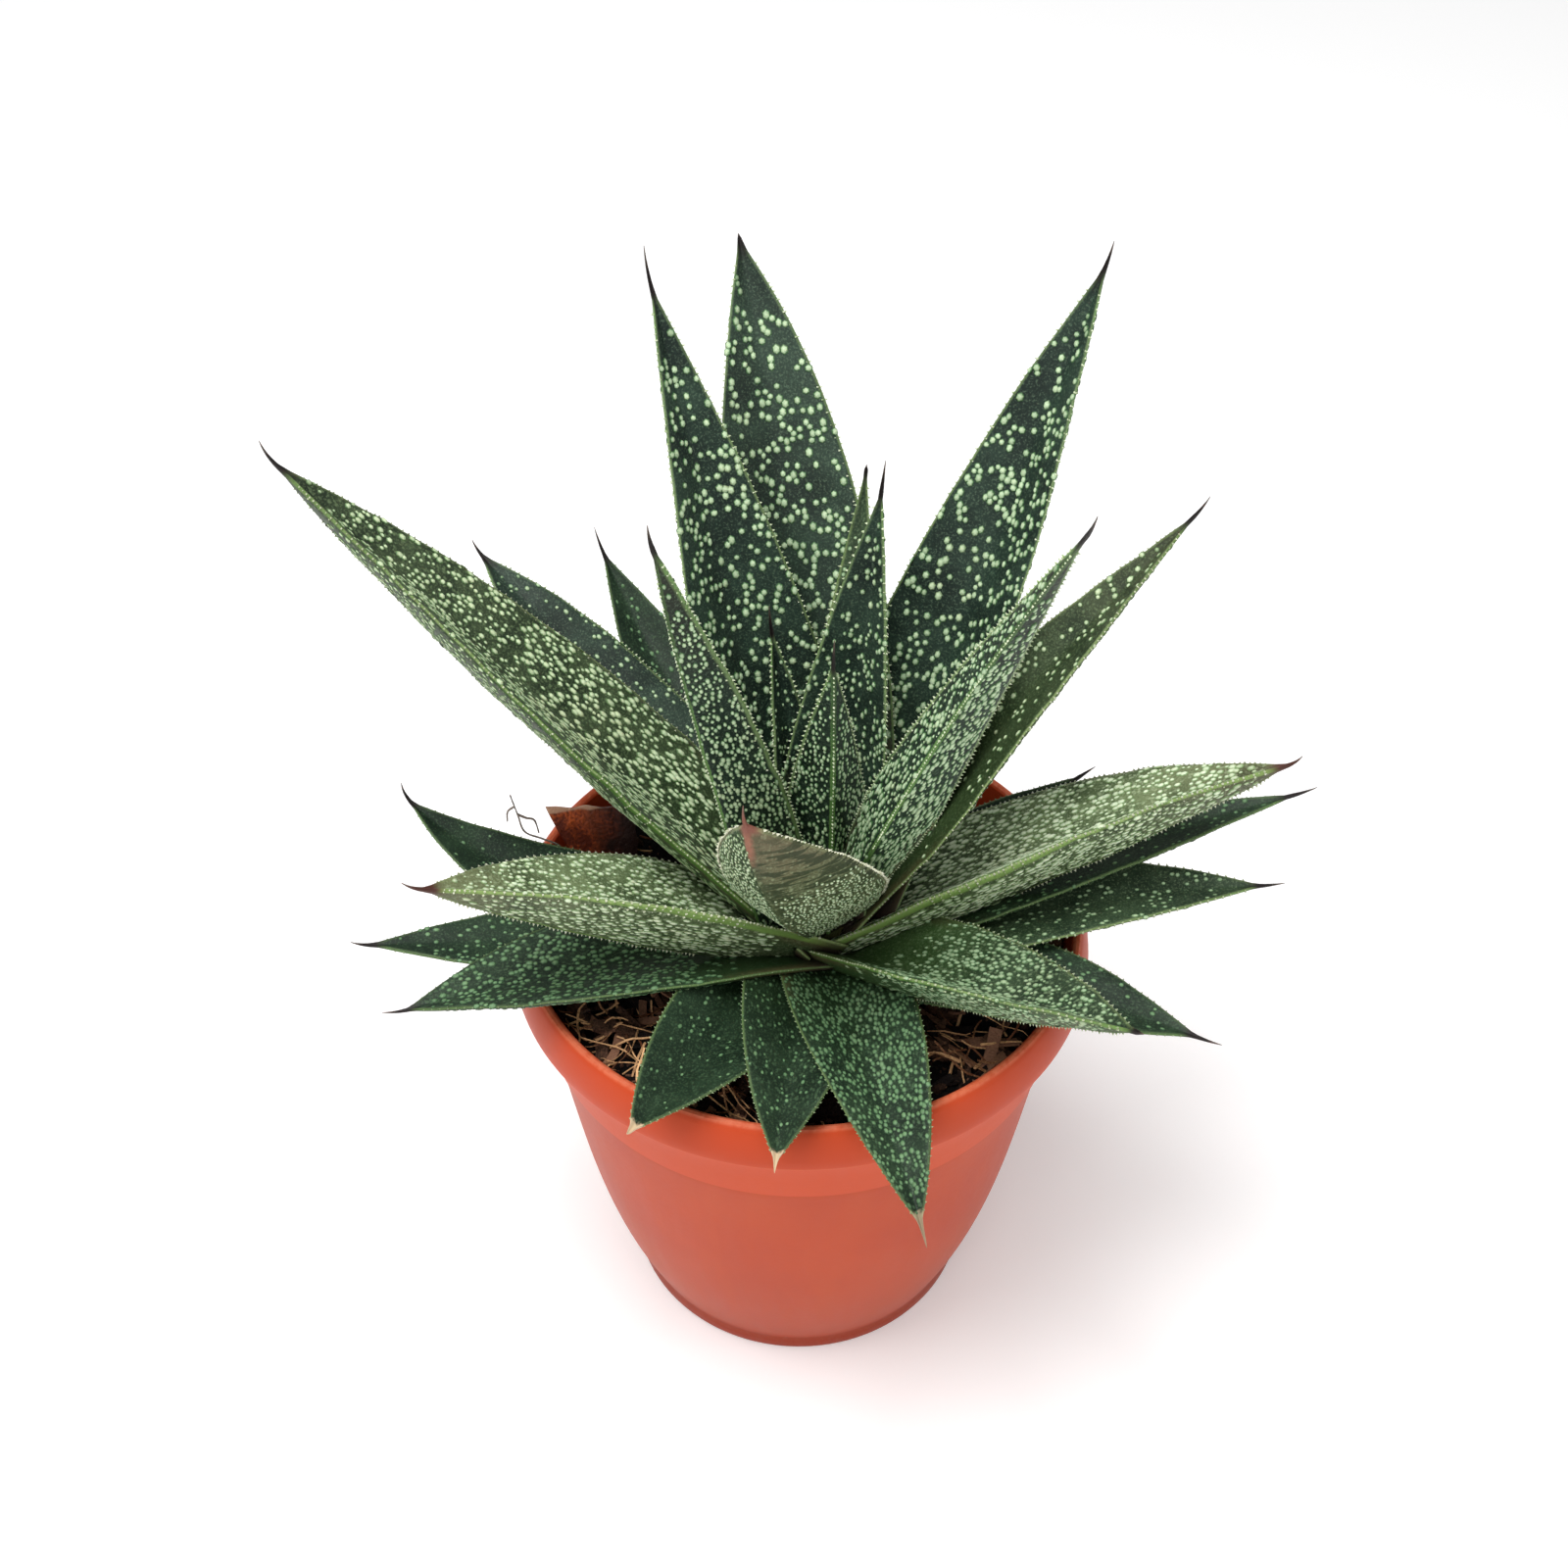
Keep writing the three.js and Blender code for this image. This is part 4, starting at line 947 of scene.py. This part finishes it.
def leaf_material(name, tones):
    m = Coat(name, specular_ior_level=0.24, subsurface_weight=0.03, subsurface_scale=0.002)
    tissue = m.add("Group", node_tree=leaf_tissue)
    for socket, colour in zip(tissue.inputs, tones):
        socket.default_value = tone(*colour)
    m.colour = tissue.outputs["colour"]
    m.wire(tissue.outputs["sheen"], m.shader.inputs["Roughness"])
    return m.done(tissue.outputs["height"], 0.00018, 0.8)


def wart_material(name, tones):
    """A wart is pale and slightly translucent at its crown and takes the leaf's green at its skirt."""
    m = Coat(name, roughness=0.5, specular_ior_level=0.3, subsurface_weight=0.05, subsurface_scale=0.001)
    crown, vary, along = m.stored("crown vary along")
    broad, fine, height = m.grain(2600.0, 60.0)
    skirt, crown_tone, dry = tones
    m.colour = tone(*skirt)
    m.lay((crown + (fine - 0.5) * 0.6).ramp(0.32, 0.98) * (vary * 0.35 + 0.7), *crown_tone)
    m.lay(broad.ramp(0.5, 0.75) * vary * 0.5, *dry)
    m.lay(along.ramp(0.85, 1.0, 0.0, 0.7), *skirt)
    return m.done(height, 0.00012, 0.6)


def tooth_material(name, tones):
    m = Coat(name, roughness=0.5)
    broad, fine, height = m.grain(3000.0, 150.0)
    m.colour = tone(*tones[0])
    m.lay(fine.ramp(0.35, 0.65), *tones[1])
    return m.done(height, 0.00005, 0.4)


# Each paint: tones of the skin, tones of the warts (skirt, crown, dry), tones of the teeth, tooth size.
BLACK_TIP = (30, 25, 24)
LEAF_PAINTS = dict(
    green=([(20, 34, 28), (42, 61, 49), (13, 30, 15), (136, 162, 108), (104, 144, 78), (114, 140, 112),
            BLACK_TIP, (92, 108, 88)],
           [(64, 102, 58), (202, 224, 184), (196, 208, 168)], [(150, 174, 116), (220, 226, 198)], 0.85),
    warm=([(32, 44, 29), (64, 78, 53), (40, 60, 26), (142, 164, 106), (78, 114, 48), (134, 158, 112),
           BLACK_TIP, (96, 104, 76)],
          [(82, 114, 66), (218, 234, 192), (208, 216, 172)], [(160, 172, 128), (216, 218, 194)], 0.8),
    pale=([(50, 68, 40), (112, 130, 90), (34, 58, 20), (150, 172, 110), (122, 154, 78), (188, 206, 164),
           (78, 48, 40), (122, 126, 92)],
          [(118, 146, 94), (232, 244, 212), (226, 226, 190)], [(170, 180, 138), (226, 228, 206)], 1.0),
    cupped=([(28, 50, 22), (62, 86, 46), (18, 42, 14), (160, 168, 124), (126, 134, 92), (172, 186, 142),
             (134, 84, 70), (150, 150, 112)],
            [(104, 132, 84), (226, 238, 204), (216, 218, 178)], [(176, 178, 142), (226, 226, 206)], 1.2),
    mid=([(32, 48, 33), (58, 77, 54), (58, 88, 40), (132, 154, 98), (96, 138, 62), (140, 164, 124),
          BLACK_TIP, (98, 108, 82)],
         [(76, 108, 68), (184, 210, 168), (184, 198, 160)], [(140, 160, 110), (206, 214, 180)], 0.9),
    # The deep paint is a dimmer copy of the others for the low leaves under the rosette: its darker skin,
    # warts and teeth are painted shade.
    deep=([(19, 35, 23), (38, 57, 39), (40, 66, 28), (104, 128, 80), (84, 120, 62), (92, 122, 88),
           BLACK_TIP, (80, 94, 76)],
          [(50, 80, 50), (120, 156, 112), (132, 154, 120)], [(100, 124, 80), (160, 178, 134)], 0.6))

leaf_tissue = leaf_tissue_group()
leaf_paints = {}
for name, (skin, wart, tooth, tooth_size) in LEAF_PAINTS.items():
    leaf_paints[name] = dict(skin_paint=leaf_material("leaf_%s_skin" % name, skin),
                             wart_paint=wart_material("leaf_%s_wart" % name, wart),
                             tooth_paint=tooth_material("leaf_%s_tooth" % name, tooth), tooth_size=tooth_size)

blade_tree, skin_tree = leaf_blade(), leaf_skin()
laid_leaves = bpy.data.collections.new("laid_leaves")
laid_leaves.objects.link(stem)
whole_blades = []
for number, (name, row) in enumerate(LEAVES.items()):
    leaf = {**LEAF_USUAL, **PAINT_USUAL[row.get("paint", "deep")], **row}
    leaf = {"under_wart": leaf["wart"], "under_gap": leaf["gap"], **leaf}
    leaf["length"] -= HAIR_WITHIN * leaf["hair"]
    leaf.update(metres(**{key: leaf[key] for key in LEAF_LENGTHS}))
    whole = grown(put_in_scene("whole_" + name, bpy.data.meshes.new("whole_" + name)), blade_tree,
                  seed=number, **metres(stem_x=STEM_AXIS[0], stem_y=STEM_AXIS[1]), **leaf)
    piece = grown(put_in_scene("leaf_%s_skin" % name, whole.data.copy()), skin_tree, inner_leaves=laid_leaves,
                  seed=number * 3.7, draw=number + 1, **leaf, **leaf_paints[leaf["paint"]])
    laid_leaves.objects.link(whole)
    whole_blades.append(whole)
    finish_piece(piece, "leaf_" + name)
for whole in whole_blades:
    bpy.data.objects.remove(whole)
bpy.data.collections.remove(laid_leaves)


# Bark chip. A thin, slightly hollow flake of pine bark that stands in the mix behind the left
# leaves, wider at its broken top edge, rusty on its left and dark brown on its right.

CHIP_FOOT, CHIP_TOP = Vector((-40.5, 18.5, 94.5)), Vector((-44.5, 23.2, 110.8))
CHIP_TURN, CHIP_SLOPE = 8, -1.2
CHIP_HALF_WIDTH, CHIP_WIDER = 6, 3
CHIP_HALF_THICK, CHIP_HOLLOW = 0.9, 0.8
CHIP_COLUMNS, CHIP_ROWS = 36, 26


def bark_chip():
    """Two faces and the broken edges between them."""
    across = Vector((math.cos(math.radians(CHIP_TURN)), math.sin(math.radians(CHIP_TURN)), 0))
    upward = (CHIP_TOP - CHIP_FOOT).normalized()
    through = across.cross(upward).normalized()
    verts, faces = [], []
    for face in (1, -1):
        for r in range(CHIP_ROWS + 1):
            share = r / CHIP_ROWS
            for c in range(CHIP_COLUMNS + 1):
                offset = 2 * c / CHIP_COLUMNS - 1
                ragged = noise.noise(Vector((offset * 3.1, share * 4.0, 1.7)))
                half = CHIP_HALF_WIDTH + CHIP_WIDER * share + 0.5 * ragged * abs(offset)
                rise = CHIP_SLOPE * offset * share + 0.6 * ragged * share ** 6
                thick = CHIP_HALF_THICK * (1 - 0.55 * abs(offset) ** 8) * (1 - 0.6 * share ** 10)
                relief = 0.35 * noise.noise(Vector((offset * 7, share * 2.2, face * 5.0)))
                shift = face * (thick + relief * 0.5) - CHIP_HOLLOW * (1 - offset * offset)
                spot = CHIP_FOOT.lerp(CHIP_TOP, share) + across * offset * half + upward * rise
                verts.append((spot + through * shift) * MM)
    wide = CHIP_COLUMNS + 1
    back = wide * (CHIP_ROWS + 1)
    for r in range(CHIP_ROWS):
        for c in range(CHIP_COLUMNS):
            low = r * wide + c
            faces.append((low, low + 1, low + wide + 1, low + wide))
            faces.append((back + low, back + low + wide, back + low + wide + 1, back + low + 1))
    for c in range(CHIP_COLUMNS):
        high = CHIP_ROWS * wide + c
        faces.append((c + 1, c, back + c, back + c + 1))
        faces.append((high, high + 1, back + high + 1, back + high))
    for r in range(CHIP_ROWS):
        left, right = r * wide, r * wide + CHIP_COLUMNS
        faces.append((left, left + wide, back + left + wide, back + left))
        faces.append((right + wide, right, back + right, back + right + wide))
    mesh = bpy.data.meshes.new("bark_chip")
    mesh.from_pydata(verts, [], faces)
    return mesh


def chip_material():
    """Rusty bark with a darker right side and a pale broken top edge."""
    m = Coat("bark_chip", roughness=0.6, specular_ior_level=0.35)
    x, y, z = m.axes(m.point())
    broad, fine, height = m.grain(1500.0, 170.0)
    m.colour = tone(96, 34, 14)
    m.lay((broad * 1.2 + fine * 0.8 - 0.5).ramp(0.3, 0.7), 196, 90, 40)
    m.lay((x + (broad - 0.5) * 0.022).ramp(-49 * MM, -37 * MM), 44, 22, 17)
    m.lay((z + (broad - 0.5) * 0.002).ramp(110.4 * MM, 111 * MM), 196, 150, 122)
    return m.done(height, 0.0008)


chip = put_in_scene("bark_chip_flake", bark_chip())
chip.data.materials.append(chip_material())
smooth_but_for_corners(chip, 40)
finish_piece(chip, "bark_chip")


# Dried sprig. The grey-brown remains of an old flower stalk, thin and brittle, that stands in the
# mix beside the chip and leans out over the rim, with two side twigs.

SPRIG_RADIUS = 0.2
SPRIG_TWIGS = [
    [(-49, 18.5, 92), (-50, 18.2, 99), (-51, 18, 104.5), (-54.5, 17.4, 107.5), (-58, 16.5, 110.5),
     (-59, 16, 116), (-60, 15.5, 122)],
    [(-59, 16, 116), (-57.3, 16.4, 114.6), (-55.8, 17, 113.4), (-55.3, 18, 108.8)],
    [(-59.4, 15.8, 118.5), (-60.9, 15.4, 117.4), (-61.2, 15.5, 114.5)],
]


def twigs():
    """Round, slightly knotty twigs along the edges of a mesh."""
    w = Grower("twigs")
    radius, paint = w.ask("radius"), w.ask("finish", "Material")
    curve = w.add("CurveSplineType", {"Curve": w.add("MeshToCurve", {"Mesh": w.given})},
                  spline_type="CATMULL_ROM")
    even = w.add("ResampleCurve", {"Curve": curve, "Length": 0.0005}, mode="LENGTH")
    knots = w.noise(w.add("InputPosition"), 520.0)
    share = w.field(w.add("SplineParameter"), "Factor")
    swelling = radius * (knots * 0.9 + 0.7) * (1.15 - share * 0.5)
    sized = w.add("SetCurveRadius", {"Curve": even, "Radius": swelling})
    ring = w.add("CurvePrimitiveCircle", {"Resolution": 10, "Radius": 1.0})
    tube = w.add("CurveToMesh", {"Curve": sized, "Profile Curve": ring, "Fill Caps": True,
                                 "Scale": w.add("InputRadius")})
    return w.end(w.painted(w.add("SetShadeSmooth", {0: tube}), paint))


sprig_mesh = bpy.data.meshes.new("dried_sprig_twigs")
sprig_spots, sprig_links = [], []
for twig in SPRIG_TWIGS:
    first = len(sprig_spots)
    sprig_links += [(first + i, first + i + 1) for i in range(len(twig) - 1)]
    sprig_spots += [[coordinate * MM for coordinate in spot] for spot in twig]
sprig_mesh.from_pydata(sprig_spots, sprig_links, [])
sprig = grown(put_in_scene("dried_sprig_twigs", sprig_mesh), twigs(), radius=SPRIG_RADIUS * MM,
              finish=litter_material("dry_twig", (142, 128, 118), (206, 192, 178), 0.8))
finish_piece(sprig, "dried_sprig")


# Room. A plain pale floor, a large soft lamp above and in front, a weaker one in front and one on the right,
# and the camera at the photograph's view, looking down on the plant at about 43 degrees.

FLOOR_HALF = 6.0
LAMP_SIZE, LAMP_TARGET = 0.8, Vector((0.0, 0.0, 0.11))
LAMPS = dict(lamp_above=((-0.3, -0.15, 1.3), 15.0), lamp_front=((-0.4, -1.1, 0.9), 4.0),
             lamp_right=((1.1, -0.4, 0.6), 2.0))
PHOTO_PIXELS, FOCAL_PIXELS, SENSOR_WIDTH = 1600, 2190, 36.0


def floor_paper():
    """Pale matt paper that lifts its own shadows a little."""
    m = Coat("pale_paper", roughness=0.9, specular_ior_level=0.1, emission_color=(1.0, 1.0, 1.0, 1.0),
             emission_strength=0.2)
    broad = m.grain(300.0, 3.0)[0]
    m.colour = tone(243, 243, 243)
    m.lay(broad, 248, 248, 248)
    return m.done()


floor_mesh = bpy.data.meshes.new("floor")
floor_corners = [(x * FLOOR_HALF, y * FLOOR_HALF, 0) for x, y in ((-1, -1), (1, -1), (1, 1), (-1, 1))]
floor_mesh.from_pydata(floor_corners, [], [(0, 1, 2, 3)])
floor = put_in_scene("floor", floor_mesh)
floor_mesh.materials.append(floor_paper())

for name, (place, watts) in LAMPS.items():
    lamp = put_in_scene(name, bpy.data.lights.new(name, "AREA"))
    lamp.data.shape, lamp.data.size, lamp.data.energy = "DISK", LAMP_SIZE, watts
    lamp.location = place
    lamp.rotation_euler = (LAMP_TARGET - Vector(place)).to_track_quat("-Z", "Y").to_euler()

world = bpy.data.worlds.new("studio")
world.use_nodes = True
world.node_tree.nodes["Background"].inputs["Color"].default_value = (1.0, 1.0, 1.0, 1.0)
world.node_tree.nodes["Background"].inputs["Strength"].default_value = 0.38
bpy.context.scene.world = world
bpy.context.scene.view_settings.view_transform = "Standard"

camera = put_in_scene("camera", bpy.data.cameras.new("camera"))
camera.data.sensor_width = SENSOR_WIDTH
camera.data.lens = FOCAL_PIXELS / PHOTO_PIXELS * SENSOR_WIDTH
camera.location = (-0.0034, -0.3067, 0.4267)
camera.rotation_euler = (math.radians(46.9), 0.0, 0.0)
bpy.context.scene.camera = camera
